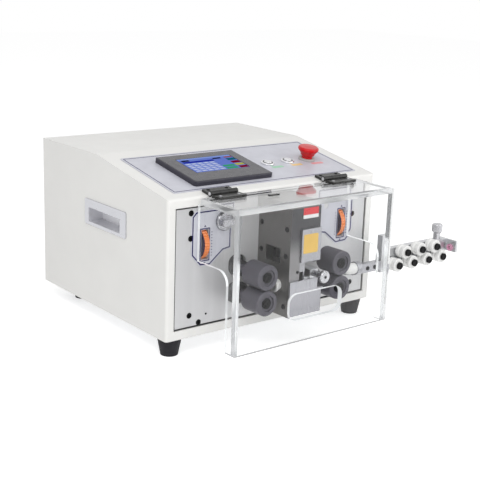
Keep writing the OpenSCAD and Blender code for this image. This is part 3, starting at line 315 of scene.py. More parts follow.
# %% The machine's finishes
FINISHES = {
    "white_paint": painted("white_powder_paint", (0.80, 0.795, 0.775)),
    "floor_steel": ground("zinc_sheet", (0.55, 0.56, 0.57), 0.4, (90, 90, 90)),
    "foot_rubber": moulded("foot_rubber", (0.017, 0.016, 0.020), 0.65, shine=0.25),
    "grip_metal": ground("satin_chrome", (0.54, 0.545, 0.575), 0.2, (60, 60, 60), contrast=0.03),
    "plate_steel": blasted("blasted_plate", (0.575, 0.575, 0.585), 0.4, metal=0.3, stretch=(1.8, 1, 0.1)),
    "black_screw": blasted("black_oxide", (0.010, 0.010, 0.011), 0.5, metal=0.0, shine=0.1),
    "label_film": moulded("label_film", (0.565, 0.57, 0.63), 0.4, grain=2500),
    "screen_case": moulded("screen_case", (0.034, 0.032, 0.046), 0.4, shine=0.35),
    "bezel_metal": ground("polished_bezel", (0.74, 0.74, 0.76), 0.14, (60, 60, 60), contrast=0.04),
    "button_metal": ground("button_cap", (0.66, 0.66, 0.68), 0.2, (60, 60, 60), contrast=0.04),
    "collar_grey": moulded("stop_collar", (0.42, 0.41, 0.40), 0.4),
    "hinge_black": moulded("hinge_black", (0.012, 0.012, 0.011), 0.3, shine=0.4),
    "seat_steel": ground("dark_ground_steel", (0.17, 0.165, 0.16), 0.42, (60, 500, 60), metal=0.8),
    "bright_steel": ground("bright_ground_steel", (0.36, 0.36, 0.385), 0.32, (1800, 90, 60), contrast=0.06),
    "white_plastic": moulded("turned_white_plastic", (0.81, 0.81, 0.80), 0.35),
    "light_alloy": blasted("light_alloy", (0.58, 0.585, 0.60), 0.38),
    "knurled_steel": ground("knurled_steel", (0.50, 0.50, 0.52), 0.28, (80, 80, 80)),
    "eyelet_ceramic": moulded("eyelet_ceramic", (0.62, 0.28, 0.42), 0.2, coat=0.6),
    "motor_black": painted("motor_black", (0.03, 0.03, 0.033)),
    "slide_black": blasted("blackened_steel", (0.045, 0.045, 0.048), 0.45, metal=0.7),
    "supply_case": ground("supply_case", (0.55, 0.56, 0.57), 0.38, (300, 40, 40)),
    "board_green": moulded("circuit_board", (0.02, 0.16, 0.07), 0.45),
    "inlet_black": moulded("inlet_black", (0.025, 0.025, 0.026), 0.5),
    "rocker_red": moulded("rocker_red", (0.5, 0.02, 0.015), 0.3, coat=0.3),
    "roller_steel": ground("dark_roller_steel", (0.082, 0.078, 0.096), 0.5, (70, 350, 70), metal=0.3),
    "orange_plastic": moulded("orange_plastic", (0.80, 0.20, 0.022), 0.3, coat=0.3),
    "slide_steel": ground("slide_steel", (0.34, 0.34, 0.36), 0.35, (60, 60, 500)),
    "red_plastic": moulded("stop_red", (0.60, 0.007, 0.011), 0.18, shine=0.3),
}
print(len(FINISHES), "finishes made")


# %% A finish on each solid
def dress(node, finishes, choose=lambda side: 0):
    """Puts finishes on a solid: choose gives the number of the finish for a face."""
    mesh = nodes[node].data
    mesh.materials.clear()
    for finish in finishes:
        mesh.materials.append(finish)
    for side in mesh.polygons:
        side.material_index = choose(side)


plain = [row for row in frame["record"]["subparts"] if row["material_slot"] in FINISHES]
for row in plain:
    dress(row["node"], [FINISHES[row["material_slot"]]])
print("finishes set on", len(plain), "solids")

# %% [markdown]
# ## Clear acrylic
#
# The cover is cut from clear sheet eight millimetres thick. A real refracting shader is used on the
# polished faces, because it bends what lies behind them and mirrors the room at a flat angle. Light that
# falls on the machine behind the sheet is let straight through, or the cover would throw a shadow like a
# board's. The sawn edges gather light that runs inside the sheet and look pale. A path tracer gives up on
# such long paths, so the edges get a milky material that is partly see-through instead, and that light is
# painted on: a pale colour and, on some edges, a faint glow.


# %% Acrylic
ACRYLIC_IOR, ACRYLIC_LOSS = 1.49, 0.02


def let_light_through(tree, shader, loss):
    """Rays that look for a lamp or the sky pass straight through, with a small loss at each face."""
    path = tree.nodes.new("ShaderNodeLightPath")
    either = tree.nodes.new("ShaderNodeMath")
    either.operation = "MAXIMUM"
    tree.links.new(path.outputs["Is Shadow Ray"], either.inputs[0])
    tree.links.new(path.outputs["Is Diffuse Ray"], either.inputs[1])
    clear = tree.nodes.new("ShaderNodeBsdfTransparent")
    clear.inputs["Color"].default_value = (1 - loss, 1 - loss, 1 - loss, 1)
    mix = tree.nodes.new("ShaderNodeMixShader")
    tree.links.new(either.outputs["Value"], mix.inputs[0])
    tree.links.new(shader.outputs["BSDF"], mix.inputs[1])
    tree.links.new(clear.outputs["BSDF"], mix.inputs[2])
    tree.links.new(mix.outputs["Shader"], tree.nodes["Material Output"].inputs["Surface"])


def polished_sheet(name, color, shine):
    made, tree, shader = new_finish(name, color, 0.0)
    shader.inputs["IOR"].default_value = ACRYLIC_IOR
    shader.inputs["Transmission Weight"].default_value = 1.0
    shader.inputs["Specular Tint"].default_value = (shine, shine, shine, 1)
    vary_gloss(tree, shader, noise(tree, 30), 0.0, 0.02)
    let_light_through(tree, shader, ACRYLIC_LOSS)
    return made


# Painted light: a sawn edge's pale colour and its glow stand in for the light it gathers inside the sheet.
def sawn_edge(name, color, milky, painted_glow=0.0):
    made, tree, shader = new_finish(name, color, 0.25)
    vary_color(tree, shader, noise(tree, 1, (25, 25, 25)), color, 0.9, 1)
    shader.inputs["Alpha"].default_value = milky
    shader.inputs["Emission Color"].default_value = (*color, 1)
    shader.inputs["Emission Strength"].default_value = painted_glow
    return made


print("recipes for polished and sawn acrylic are ready")

# %% [markdown]
# ## The cover's edges
#
# A face that looks along its sheet's own axis is polished, and every other face is an edge. The edges of
# the hand slot and the rounded part of the side plates' notch get the palest colour and a faint glow, a
# painted light for the light they catch. The notch's upright edge and the back edges are a little clearer
# with a weaker painted glow, the outer edges clearer still, and the lower edge is painted dark, a painted
# reflection of the shadow under the machine. One material on all edges would make the cover look like a
# drawing, so each edge is found by its place and gets its own.

# %% Acrylic on the cover
FACE, EDGE, PAINTED_LIGHT_RIM, PAINTED_SHADOW_FOOT, PAINTED_LIGHT_NOTCH = range(5)
# Painted light on the hand slot's rim and the notch edges, and a painted shadow on the lower edge, which
# mirrors the shade under the machine.
COVER_FINISHES = [
    polished_sheet("acrylic_face", (0.99, 0.995, 0.995), 0.15),
    sawn_edge("acrylic_edge", (0.72, 0.735, 0.755), 0.36),
    sawn_edge("hand_slot_rim_painted_light", (0.92, 0.94, 0.95), 0.75, 0.3),
    sawn_edge("cover_lower_edge_painted_shadow", (0.28, 0.285, 0.30), 0.65),
    sawn_edge("notch_upright_edge_painted_light", (0.88, 0.90, 0.91), 0.62, 0.16),
]
SHEET_AXIS = {"cover_front_plate": 1, "cover_top_plate": 2, "cover_side_plates": 0}
FLAT, UPRIGHT = 0.9, 0.998
HAND_X, HAND_Z = (137.0, 233.0), (27.5, 65.5)
COVER_FOOT = 0.0
NOTCH_FRONT, NOTCH_TOP, SHEET_BACK = -66.0, 105.5, -1.5


def in_cabinet(node, side):
    """The middle of a face, in the cabinet's millimetres."""
    return (nodes[node].matrix_world @ side.center - corner) / MM


def sheet_finish(node, axis, side):
    if abs(side.normal[axis]) > FLAT:
        return FACE
    x, y, z = in_cabinet(node, side)
    if z < COVER_FOOT:
        return PAINTED_SHADOW_FOOT
    if node == "cover_front_plate":
        in_slot = HAND_X[0] < x < HAND_X[1] and HAND_Z[0] < z < HAND_Z[1]
        return PAINTED_LIGHT_RIM if in_slot else EDGE
    if y > SHEET_BACK:
        return PAINTED_LIGHT_NOTCH
    if y < NOTCH_FRONT or z > NOTCH_TOP:
        return EDGE
    return PAINTED_LIGHT_NOTCH if abs(side.normal.y) > UPRIGHT else PAINTED_LIGHT_RIM


for name, axis in SHEET_AXIS.items():
    dress(name, COVER_FINISHES, lambda side: sheet_finish(name, axis, side))
print("acrylic on", ", ".join(SHEET_AXIS))

# %% [markdown]
# ## Several finishes on one piece
#
# The bar knob is a darker steel than its neighbours. A thumbwheel has an orange tread, and its flat sides
# are painted dark, a painted shade. A grip has a chrome rim round a pocket whose back is painted paler, a
# painted light, and whose side walls are painted darker, a painted shade. The solids could be cut apart
# for this, but a material can be chosen for each face, by the way it looks or the place where it lies.

# %% Knob and thumbwheels
KNOB_STEEL = ground("knob_steel", (0.36, 0.36, 0.38), 0.25, (60, 500, 60))
dress("lift_knob", [KNOB_STEEL])

# Painted shade: the thumbwheels' flat sides get a dark finish for the shade they lie in.
WHEEL_SIDE_PAINTED_SHADE = moulded("wheel_side_painted_shade", (0.035, 0.018, 0.045), 0.5, shine=0.2)
THUMBWHEELS = ("left_thumbwheel", "right_thumbwheel")
for name in THUMBWHEELS:
    dress(name, [FINISHES["orange_plastic"], WHEEL_SIDE_PAINTED_SHADE], lambda side: int(abs(side.normal.x) > FLAT))
print("a steel knob, and an orange tread on", len(THUMBWHEELS), "thumbwheels")

# %% Grips
POCKET_GRAIN = (300, 300, 300)
# Painted light and shade: the pocket's back is a paler copy of the grip's metal, and its side walls a
# darker one.
POCKET_PAINTED_LIGHT = ground("grip_pocket", (0.93, 0.93, 0.95), 0.42, POCKET_GRAIN, metal=0.4, contrast=0.02)
POCKET_WALLS_PAINTED_SHADE = ground("grip_pocket_sides", (0.68, 0.68, 0.71), 0.4, POCKET_GRAIN, metal=0.7, contrast=0.02)
WALL_T = 2.0


def grip_finish(side):
    x = in_cabinet("side_grips", side).x
    if min(x, CABINET_W - x) < WALL_T:
        return 0
    return 1 if abs(side.normal.x) > FLAT else 2


dress("side_grips", [FINISHES["grip_metal"], POCKET_PAINTED_LIGHT, POCKET_WALLS_PAINTED_SHADE], grip_finish)
print("chrome rims and pale pockets on the two grips")

# %% [markdown]
# ## The cutter's seat
#
# The seat is a block of dark steel. Its front is ground bright, with a painted shade that makes it darker
# towards the top, and inside the window it is painted black, a painted shade for the hollow. Lamps alone
# can't give that change of grey, so the front's colour is a gradient that takes its height from the
# object's own coordinates.


# %% Cutter seat
def ground_with_painted_fade(name, low, high, low_color, high_color):
    """Ground steel with a painted shade: its colour changes from low_color to high_color between two
    heights in metres.
    """
    made, tree, shader = new_finish(name, low_color, 0.42, 0.8)
    place = tree.nodes.new("ShaderNodeTexCoord")
    height = tree.nodes.new("ShaderNodeSeparateXYZ")
    tree.links.new(place.outputs["Object"], height.inputs["Vector"])
    share = tree.nodes.new("ShaderNodeMapRange")
    share.inputs["From Min"].default_value = low
    share.inputs["From Max"].default_value = high
    tree.links.new(height.outputs["Z"], share.inputs["Value"])
    shade_fade = mix_colors(tree, share.outputs["Result"], low_color, high_color)
    tree.links.new(shade_fade, shader.inputs["Base Color"])
    bump(tree, shader, noise(tree, 1, (700, 60, 40), 4), strength=0.1, depth=0.0001, edge=0.0004)
    return made


CHEEK_X, WINDOW_Y, WINDOW_Z = (150.0, 168.0), (-45.5, -15.5), (98.0, 118.5)
SHADE_FADE_Z = (112, 136)
NEAR = 0.1
to_seat = nodes["cutter_seat"].matrix_world.inverted()
shade_fade_low, shade_fade_high = ((to_seat @ spot(0, 0, z)).z for z in SHADE_FADE_Z)
# Painted light and shade: the seat's front is lighter low down and darker towards the top.
SEAT_PAINTED_LIT, SEAT_PAINTED_SHADE = (0.24, 0.235, 0.24), (0.075, 0.075, 0.08)
SEAT_FRONT_PAINTED_SHADE = ground_with_painted_fade("seat_front_painted_shade", shade_fade_low, shade_fade_high, SEAT_PAINTED_LIT, SEAT_PAINTED_SHADE)
# Painted shade: the inside of the window is black, where shade falls in the hollow.
WINDOW_PAINTED_SHADE = blasted("window_painted_shade", (0.02, 0.02, 0.02), 0.6, metal=0.0, shine=0.1)


def seat_finish(side):
    x, y, z = in_cabinet("cutter_seat", side)
    inside = all(a - NEAR < v < b + NEAR for v, (a, b) in ((y, WINDOW_Y), (z, WINDOW_Z)))
    if inside and CHEEK_X[0] + NEAR < x < CHEEK_X[1] - NEAR:
        return 2
    return int(side.normal.y < -FLAT)


dress("cutter_seat", [FINISHES["seat_steel"], SEAT_FRONT_PAINTED_SHADE, WINDOW_PAINTED_SHADE], seat_finish)
print("the seat's front fades between heights of", SHADE_FADE_Z, "mm")

# %% [markdown]
# ## Skins over loops of points
#
# Screws, knobs and knurls are all skins over a stack of closed loops: circles, hexagons or knurled rings of
# the same number of points. Cylinders joined by boolean cuts would do too, but they leave untidy faces. The
# helper joins each loop to the next and closes both ends. A flat print is an outline pulled up by a hair's
# breadth, and a printed line is a band between two outlines.

# %% Loops
ROUND = 24


def ring(radius, w, n=ROUND, u=0.0, v=0.0):
    turns = [2 * math.pi * i / n for i in range(n)]
    return [(u + radius * math.cos(t), v + radius * math.sin(t), w) for t in turns]


def hexagon(radius, w, u=0.0, v=0.0):
    """A hexagon of inner radius radius, with as many points as a ring."""
    loop = []
    for i in range(ROUND):
        t = 2 * math.pi * i / ROUND
        r = radius / math.cos((t + math.pi / 6) % (math.pi / 3) - math.pi / 6)
        loop.append((u + r * math.cos(t), v + r * math.sin(t), w))
    return loop


print("a loop has", ROUND, "points")


# %% Skins
def join_loops(bm, low, high):
    for i in range(len(low)):
        k = (i + 1) % len(low)
        bm.faces.new((low[i], low[k], high[k], high[i]))


def skin(bm, loops):
    rows = [[bm.verts.new(p) for p in loop] for loop in loops]
    for low, high in zip(rows, rows[1:]):
        join_loops(bm, low, high)
    bm.faces.new(rows[0][::-1])
    bm.faces.new(rows[-1])


def turned(bm, profile, u, v, w=0.0):
    """A turned piece: its profile gives each ring's radius and height above w."""
    skin(bm, [ring(r, w + h, u=u, v=v) for r, h in profile])


def slab(bm, outline, w0, w1):
    skin(bm, [[(u, v, w0) for u, v in outline], [(u, v, w1) for u, v in outline]])


def frame_band(bm, outer, inner, w0, w1):
    """A closed flat band between two outlines with the same number of points."""
    stack = (outer, w0), (outer, w1), (inner, w1), (inner, w0)
    rows = [[bm.verts.new((*p, w)) for p in path] for path, w in stack]
    for low, high in zip(rows, rows[1:] + rows[:1]):
        join_loops(bm, low, high)


print("helpers for skins, slabs and bands are ready")


# %% Outlines
SHARPEST = 0.3


def rounded_box(u0, v0, u1, v1, r, steps=5):
    outline = []
    corners = (u1 - r, v0 + r, -90), (u1 - r, v1 - r, 0), (u0 + r, v1 - r, 90), (u0 + r, v0 + r, 180)
    for u, v, start in corners:
        for i in range(steps + 1):
            t = math.radians(start + 90 * i / steps)
            outline.append((u + r * math.cos(t), v + r * math.sin(t)))
    return outline


def inset(outline, d):
    """The counter-clockwise outline moved inwards by d; SHARPEST keeps a sharp corner from running off."""
    moved = []
    n = len(outline)
    for i in range(n):
        a, b, c = (Vector(outline[(i + k) % n]) for k in (-1, 0, 1))
        p, q = (b - a).normalized(), (c - b).normalized()
        left_p, left_q = Vector((-p.y, p.x)), Vector((-q.y, q.x))
        way = (left_p + left_q).normalized()
        moved.append(tuple(b + way * (d / max(SHARPEST, way.dot(left_q)))))
    return moved


print("helpers for outlines are ready")

# %% [markdown]
# ## Pieces that ride on the machine
#
# A piece that is only drawn in place would stay behind when the cover opens or a roller turns. Edges
# sharper than an angle stay sharp, and the rest of the skin is shaded smooth.

# %% Pieces
SMOOTH_ANGLE = math.radians(35)


def piece(name, bm, place, finish, body):
    """Makes the object, in metres, and lets it ride on a body of the machine."""
    bm.normal_update()
    bmesh.ops.recalc_face_normals(bm, faces=bm.faces)
    mesh = bpy.data.meshes.new(name)
    bm.to_mesh(mesh)
    bm.free()
    mesh.transform(place)
    mesh.materials.append(finish)
    mesh.shade_smooth()
    mesh.set_sharp_from_angle(angle=SMOOTH_ANGLE)
    made = bpy.data.objects.new(name, mesh)
    bpy.context.scene.collection.objects.link(made)
    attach(made, body)


print("pieces are smooth up to", round(math.degrees(SMOOTH_ANGLE)), "degrees")

# %% [markdown]
# ## Prints on the front labels
#
# Each label has a dark blue line near its edge, a dark frame around the thumbwheel's slot, and marks beside
# it. A material could paint them, but a skin a tenth of a millimetre thick that lies on the film keeps its
# edge sharp at any distance. The right label is the left one mirrored.

# %% Label outline and marks
NAVY = moulded("navy_print", (0.016, 0.011, 0.095), 0.45, grain=3000, shine=0.25)
LABEL_FACE = 1.5
PRINT = 0.1
LABEL_INSET, LABEL_LINE = 1.5, 1.8
SLOT_HALF, FRAME_HALF, FRAME_GAP, FRAME_LINE = 20.5, 8.2, 2.2, 1.6
TICKS, TICK_PITCH, TICK_W, TICK_H = 9, 4.0, 2.0, 1.0
TICK_LEFT, TICK_RIGHT = -12.2, 10.2
POINTER_GAP, POINTER_HALF, POINTER_TALL = 3.5, 1.8, 3.0
tx, tz = 65.4, 125.0
LABEL = [
    (tx - 26.5, tz - 13), (tx - 12, tz - 29), (tx + 9, tz - 30), (tx + 31, tz - 12.5),
    (tx + 44, tz - 10.5), (tx + 44, tz + 47), (tx - 19.5, tz + 47), (tx - 26.5, tz + 40),
]


def mirrored(outline):
    return [(CABINET_W - u, v) for u, v in outline][::-1]


def pointer(v, tall):
    """A small triangle at the slot's end; it points down where tall is negative."""
    left, right, tip = (tx - POINTER_HALF, v), (tx + POINTER_HALF, v), (tx, v + tall)
    return [left, right, tip] if tall > 0 else [tip, right, left]


def tick_marks():
    marks = []
    for i in range(TICKS):
        v = tz + TICK_PITCH * (i - (TICKS - 1) / 2)
        for u in (tx + TICK_LEFT, tx + TICK_RIGHT):
            marks.append(rounded_box(u, v - TICK_H / 2, u + TICK_W, v + TICK_H / 2, 0.2, 1))
    return marks


print("label outline with", len(LABEL), "corners and", len(tick_marks()), "ticks")


# %% Label prints
def label_print(name, change):
    bm = bmesh.new()
    line = inset(change(LABEL), LABEL_INSET)
    frame_band(bm, line, inset(line, LABEL_LINE), 0, PRINT)
    frame_top = SLOT_HALF + FRAME_GAP
    slot = change(rounded_box(tx - FRAME_HALF, tz - frame_top, tx + FRAME_HALF, tz + frame_top, 1.5))
    frame_band(bm, slot, inset(slot, FRAME_LINE), 0, PRINT)
    for mark in tick_marks():
        slab(bm, change(mark), 0, PRINT)
    slab(bm, change(pointer(tz + SLOT_HALF + POINTER_GAP, POINTER_TALL)), 0, PRINT)
    slab(bm, change(pointer(tz - SLOT_HALF - POINTER_GAP, -POINTER_TALL)), 0, PRINT)
    piece(name, bm, facing_front(LABEL_FACE), NAVY, "cabinet")


label_print("left_label_print", list)
label_print("right_label_print", mirrored)
print("two label prints")

# %% [markdown]
# ## A painted shadow line round the front plate
#
# Where the plate meets the cabinet's frame, the gap lies in shade and shows as a thin dark line. A real
# gap between the solids would look black only as long as no light reaches into it. So the line is a black
# band of its own that lies on the plate's edge, a painted shadow.

# %% Painted shadow line round the plate
PLATE_FACE = 2.0
PLATE_EDGE = 13.7
SHADOW_LINE_W, SHADOW_LINE_T = 1.0, 0.3
# Painted shadow: a black band stands for the shade in the gap round the plate.
SHADOW_LINE_BLACK = moulded("plate_gap_painted_shadow", (0.02, 0.02, 0.02), 0.6, shine=0.2)
bm = bmesh.new()
line = rounded_box(PLATE_EDGE, PLATE_EDGE, CABINET_W - PLATE_EDGE, FRONT_H - PLATE_EDGE, 1.0)
frame_band(bm, line, inset(line, SHADOW_LINE_W), 0, SHADOW_LINE_T)
piece("plate_gap_painted_shadow", bm, facing_front(PLATE_FACE), SHADOW_LINE_BLACK, "cabinet")
print("black seal round the front plate,", SHADOW_LINE_W, "mm wide")

# %% [markdown]
# ## The control panel
#
# A printed film covers the slope. A blue line runs round it, and three plain colour fields lie in front of
# the buttons. A dark ring lies on each button's bright bezel. All of these are skins like the label's
# prints, drawn in the panel's own frame, so that none has to be turned by hand to the slope.

# %% Panel prints
OVERLAY_LIFT = 0.8
PANEL_LINE, PANEL_LINE_W = (24.2, 20.5, 345.8, 149.5), 1.3
bm = bmesh.new()
line = rounded_box(*PANEL_LINE, 2)
frame_band(bm, line, inset(line, PANEL_LINE_W), 0, PRINT)
piece("panel_line", bm, on_panel(OVERLAY_LIFT), NAVY, "cabinet")

FIELDS = {
    "start_field": ((0.33, 0.62, 0.42), (224.5, 60.0, 244.5, 66.6)),
    "stop_field": ((0.80, 0.55, 0.22), (261.5, 60.0, 281.0, 66.6)),
    "halt_field": ((0.75, 0.28, 0.30), (298.5, 57.4, 320.0, 64.0)),
}
for name, (color, box) in FIELDS.items():
    ink = moulded(name + "_ink", color, 0.4, grain=3000)
    bm = bmesh.new()
    slab(bm, rounded_box(*box, 1.2), 0, PRINT)
    piece(name, bm, on_panel(OVERLAY_LIFT), ink, "cabinet")
print("panel line and", len(FIELDS), "colour fields")

# %% Rings round the buttons
BUTTON_X, BUTTON_S, BUTTON_PITCH = 227.0, 78.0, 38.0
BEZEL_TOP = OVERLAY_LIFT + 3.0
RING_OUTER, RING_INNER = 7.6, 6.4
RING_BLACK = moulded("button_ring", (0.02, 0.02, 0.022), 0.5, shine=0.2)


def flat_circle(radius, u, v):
    return [p[:2] for p in ring(radius, 0, u=u, v=v)]


bm = bmesh.new()
for u in (BUTTON_X, BUTTON_X + BUTTON_PITCH):
    frame_band(bm, flat_circle(RING_OUTER, u, BUTTON_S), flat_circle(RING_INNER, u, BUTTON_S), 0, PRINT)
piece("button_rings", bm, on_panel(BEZEL_TOP), RING_BLACK, "cabinet")
print("dark rings round the two buttons")

# %% [markdown]
# ## The screen
#
# The housing has a grey face film over its dark case, with a hole for the glass. The lit picture could be
# an image on the glass, but it is built from thin glowing fields, each a little above the one below it: it
# stays sharp, and needs no file. Part of each field's light is its own.

# %% Screen housing's face
HMI_X, HMI_S, HMI_W, HMI_H, HMI_TOP = 63.0, 29.5, 135.0, 100.0, 7.3
GLASS_X, GLASS_S, GLASS_W, GLASS_H = 86.0, 60.0, 94.0, 52.0
FILM_T, FILM_EDGE = 0.25, 2.2
FACE_GREY = moulded("screen_face_film", (0.058, 0.057, 0.066), 0.3, grain=2500, shine=0.4)
bm = bmesh.new()
low = HMI_X + FILM_EDGE, HMI_S + FILM_EDGE
high = HMI_X + HMI_W - FILM_EDGE, HMI_S + HMI_H - FILM_EDGE
hole = rounded_box(GLASS_X, GLASS_S, GLASS_X + GLASS_W, GLASS_S + GLASS_H, 0.5)
frame_band(bm, rounded_box(*low, *high, 3.0), hole, 0, FILM_T)
piece("screen_face_film", bm, on_panel(HMI_TOP), FACE_GREY, "cabinet")
print("face film on the screen's housing")


# %% Lit fields
def glow(name, color, strength=0.4):
    """A lit field behind glass, with fine lines for the rows of the display."""
    made, tree, shader = new_finish(name, tint(color, 0.35), 0.3)
    shader.inputs["Specular IOR Level"].default_value = 0.0
    lines = noise(tree, 1, (60, 1500, 1500), 2)
    vary_color(tree, shader, lines, color, 0.8, 1.1, "Emission Color")
    shader.inputs["Emission Strength"].default_value = strength
    return made


def screen_field(name, fields, finish, lift):
    """Fields are given in hundredths of the glass, from its lower left corner."""
    bm = bmesh.new()
    for u0, v0, u1, v1 in fields:
        low = GLASS_X + u0 / 100 * GLASS_W, GLASS_S + v0 / 100 * GLASS_H
        high = GLASS_X + u1 / 100 * GLASS_W, GLASS_S + v1 / 100 * GLASS_H
        slab(bm, rounded_box(*low, *high, 0.4, 3), 0, PRINT)
    piece(name, bm, on_panel(HMI_TOP + lift), finish, "cabinet")


dress("hmi_screen", [glow("screen_glass", (0.03, 0.04, 0.08), 0.3)])
print("dark glass on the screen")

# %% Screen picture
PAGE, KEY, MARK = 0.02, 0.14, 0.26
cells = [(3 + 11 * i, 5 + 12.5 * j, 12.5 + 11 * i, 13.5 + 12.5 * j) for i in range(5) for j in range(5)]
marks = [(u0 + 2, v0 + 3, u1 - 3, v1 - 3) for u0, v0, u1, v1 in cells]
PICTURE = {
    "screen_page": ("page_blue", (0.17, 0.25, 0.76), PAGE, [(1, 1, 99, 99)]),
    "screen_header": ("header_blue", (0.30, 0.42, 0.90), KEY, [(1, 91, 99, 99)]),
    "screen_title": ("title_blue", (0.01, 0.02, 0.40), KEY, [(4, 68, 60, 77)]),
    "screen_keys": ("key_black", (0.01, 0.01, 0.03), KEY, [(5, 80, 19, 89), (62, 79, 77, 87)]),
    "screen_cells": ("cell_blue", (0.50, 0.59, 0.97), KEY, cells),
    "screen_marks": ("mark_white", (0.85, 0.88, 1.0), MARK, marks),
    "screen_orange": ("key_orange", (0.40, 0.10, 0.04), KEY, [(84, 81, 98, 88)]),
    "screen_teal": ("key_teal", (0.01, 0.14, 0.20), KEY, [(83, 60, 98.5, 75)]),
    "screen_red": ("key_red", (0.25, 0.005, 0.03), KEY, [(83, 39, 98.5, 54), (83, 2, 98.5, 16)]),
    "screen_yellow": ("key_yellow", (0.55, 0.55, 0.10), KEY, [(83, 21, 98.5, 35)]),
    "screen_green": ("key_green", (0.06, 0.42, 0.20), KEY, [(59, 3, 80, 15), (59, 19, 80, 31)]),
}
for name, (light, color, lift, fields) in PICTURE.items():
    screen_field(name, fields, glow(light, color), lift)
print("screen picture of", len(PICTURE), "layers, with", len(cells), "cells")

# %% [markdown]
# ## Screws
#
# A socket screw is a short chamfered cylinder with a six-sided hole. Its skin goes up the outside, over the
# rim, and down into the hexagon, so the hole is real and takes its own shade. The same recipe, in several
# sizes, makes the screws of the cutter seat, the straightener, the hinges and the rollers.


# %% Socket screws
SOCKET_SHARE = 0.52


def socket_screw(bm, u, v, head_r, head_h, w=0.0):
    """Up the head, over its chamfer, and down into the socket, whose floor is a third of the way up."""
    hex_r = head_r * SOCKET_SHARE
    chamfer = min(0.5, head_h * 0.3)
    top = w + head_h
    skin(bm, [
        ring(head_r, w, u=u, v=v),
        ring(head_r, top - chamfer, u=u, v=v),
        ring(head_r - chamfer, top, u=u, v=v),
        hexagon(hex_r * 1.08, top, u=u, v=v),
        hexagon(hex_r, top - chamfer * 0.6, u=u, v=v),
        hexagon(hex_r, w + head_h * 0.35, u=u, v=v),
    ])


def screws(name, place, spots, head_r, head_h, finish, body):
    bm = bmesh.new()
    for u, v in spots:
        socket_screw(bm, u, v, head_r, head_h)
    piece(name, bm, place, finish, body)


BLACK = FINISHES["black_screw"]
STEEL = FINISHES["knurled_steel"]
print("a screw's socket is", SOCKET_SHARE, "of its head")

# %% Screws on the cabinet
SEAT_FACE, BRACKET_FACE, BRACKET_FOOT, REAR_FACE = -65.0, -33.7, -4.0, 333.0
BRACKET_SCREW_Z, DOWEL_X, REAR_EDGE = 60.2, 66, 12
seat_spots = [(5, 147.5), (57, 147.5), (5.5, 110), (56.5, 110.5), (56, 40)]
bracket_spots = [(x, BRACKET_SCREW_Z) for x in (314, 331, 346)]
dowel_spots = [(DOWEL_X, 28), (CABINET_W - DOWEL_X, 28)]
rear_x = REAR_EDGE, CABINET_W / 2, CABINET_W - REAR_EDGE
rear_spots = [(-x, z) for x in rear_x for z in (REAR_EDGE, CABINET_H - REAR_EDGE)]
# For each group: its face, its places on that face, and the radius and height of a head.
CABINET_SCREWS = {
    "seat_side_screws": (facing_left(CHEEK_X[0]), seat_spots, 3.6, 0.8),
    "seat_front_screw": (facing_front(SEAT_FACE), [(164.5, 88.5)], 2.2, 0.8),
    "bracket_screws": (facing_front(BRACKET_FACE), bracket_spots, 3.2, 1.0),
    "bracket_foot_screws": (facing_front(BRACKET_FOOT), [(308.5, 55), (308.5, 68.5)], 2.4, 1.0),
    "plate_dowel_heads": (facing_front(PLATE_FACE), dowel_spots, 1.5, 0.4),
    "rear_panel_screws": (facing_back(REAR_FACE), rear_spots, 3.4, 1.6),
}
for name, (place, spots, head_r, head_h) in CABINET_SCREWS.items():
    screws(name, place, spots, head_r, head_h, BLACK, "cabinet")
print(", ".join(CABINET_SCREWS))

# %% Screws and pins of the hinges
HINGE_X, HINGE_W = 63.0, 44.0
LEAF_T = 3.5
COVER_TOP = 190.0
HINGE_SCREW_R, HINGE_SCREW_H, HINGE_SCREW_EDGE = 2.4, 0.5, 7
PANEL_SCREW_S, COVER_SCREW_Y = 9.6, -18
hinge_x = [HINGE_X + HINGE_SCREW_EDGE, HINGE_X + HINGE_W - HINGE_SCREW_EDGE]
hinge_x += [CABINET_W - x for x in hinge_x]
screws("hinge_panel_screws", on_panel(LEAF_T), [(x, PANEL_SCREW_S) for x in hinge_x],
       HINGE_SCREW_R, HINGE_SCREW_H, BLACK, "cabinet")
screws("hinge_cover_screws", facing_up(COVER_TOP + LEAF_T), [(x, COVER_SCREW_Y) for x in hinge_x],
       HINGE_SCREW_R, HINGE_SCREW_H, STEEL, "cover")

PIN_Y, PIN_Z = -4.0, 194.4
PIN_HEAD = (2.6, 0.05), (2.6, 0.7), (1.9, 1.2), (0.8, 1.4)
HINGE_STEP = CABINET_W - 2 * HINGE_X - HINGE_W
PIN_ENDS = {"outer": (facing_left(HINGE_X), -1), "inner": (facing_right(HINGE_X + HINGE_W), 1)}
for name, (place, way) in PIN_ENDS.items():
    bm = bmesh.new()
    for w in (0, way * HINGE_STEP):
        turned(bm, PIN_HEAD, way * PIN_Y, PIN_Z, w)
    piece(f"hinge_pin_heads_{name}", bm, place, STEEL, "cover")
print(2 * len(hinge_x), "hinge screws and", 2 * len(PIN_ENDS), "pin heads")

# %% Bolts of the rollers
PAIR_X = {"left": 118.0, "right": 252.0}
ROLLER_Z = {"lower": 50.7, "upper": 86.3}
ROLLER_FACE = -58
WASHER_T = 1.2
WASHER = (7.5, 0), (7.5, 0.9), (7.1, WASHER_T)
BOLT_R, BOLT_H = 4.6, 1.6
for side, x in PAIR_X.items():
    for level, z in ROLLER_Z.items():
        body = f"{side}_{level}_roller"
        bm = bmesh.new()
        turned(bm, WASHER, x, z)
        socket_screw(bm, x, z, BOLT_R, BOLT_H, WASHER_T)
        piece(body + "_bolt", bm, facing_front(ROLLER_FACE), BLACK, body)
print("bolts on", len(PAIR_X) * len(ROLLER_Z), "rollers")

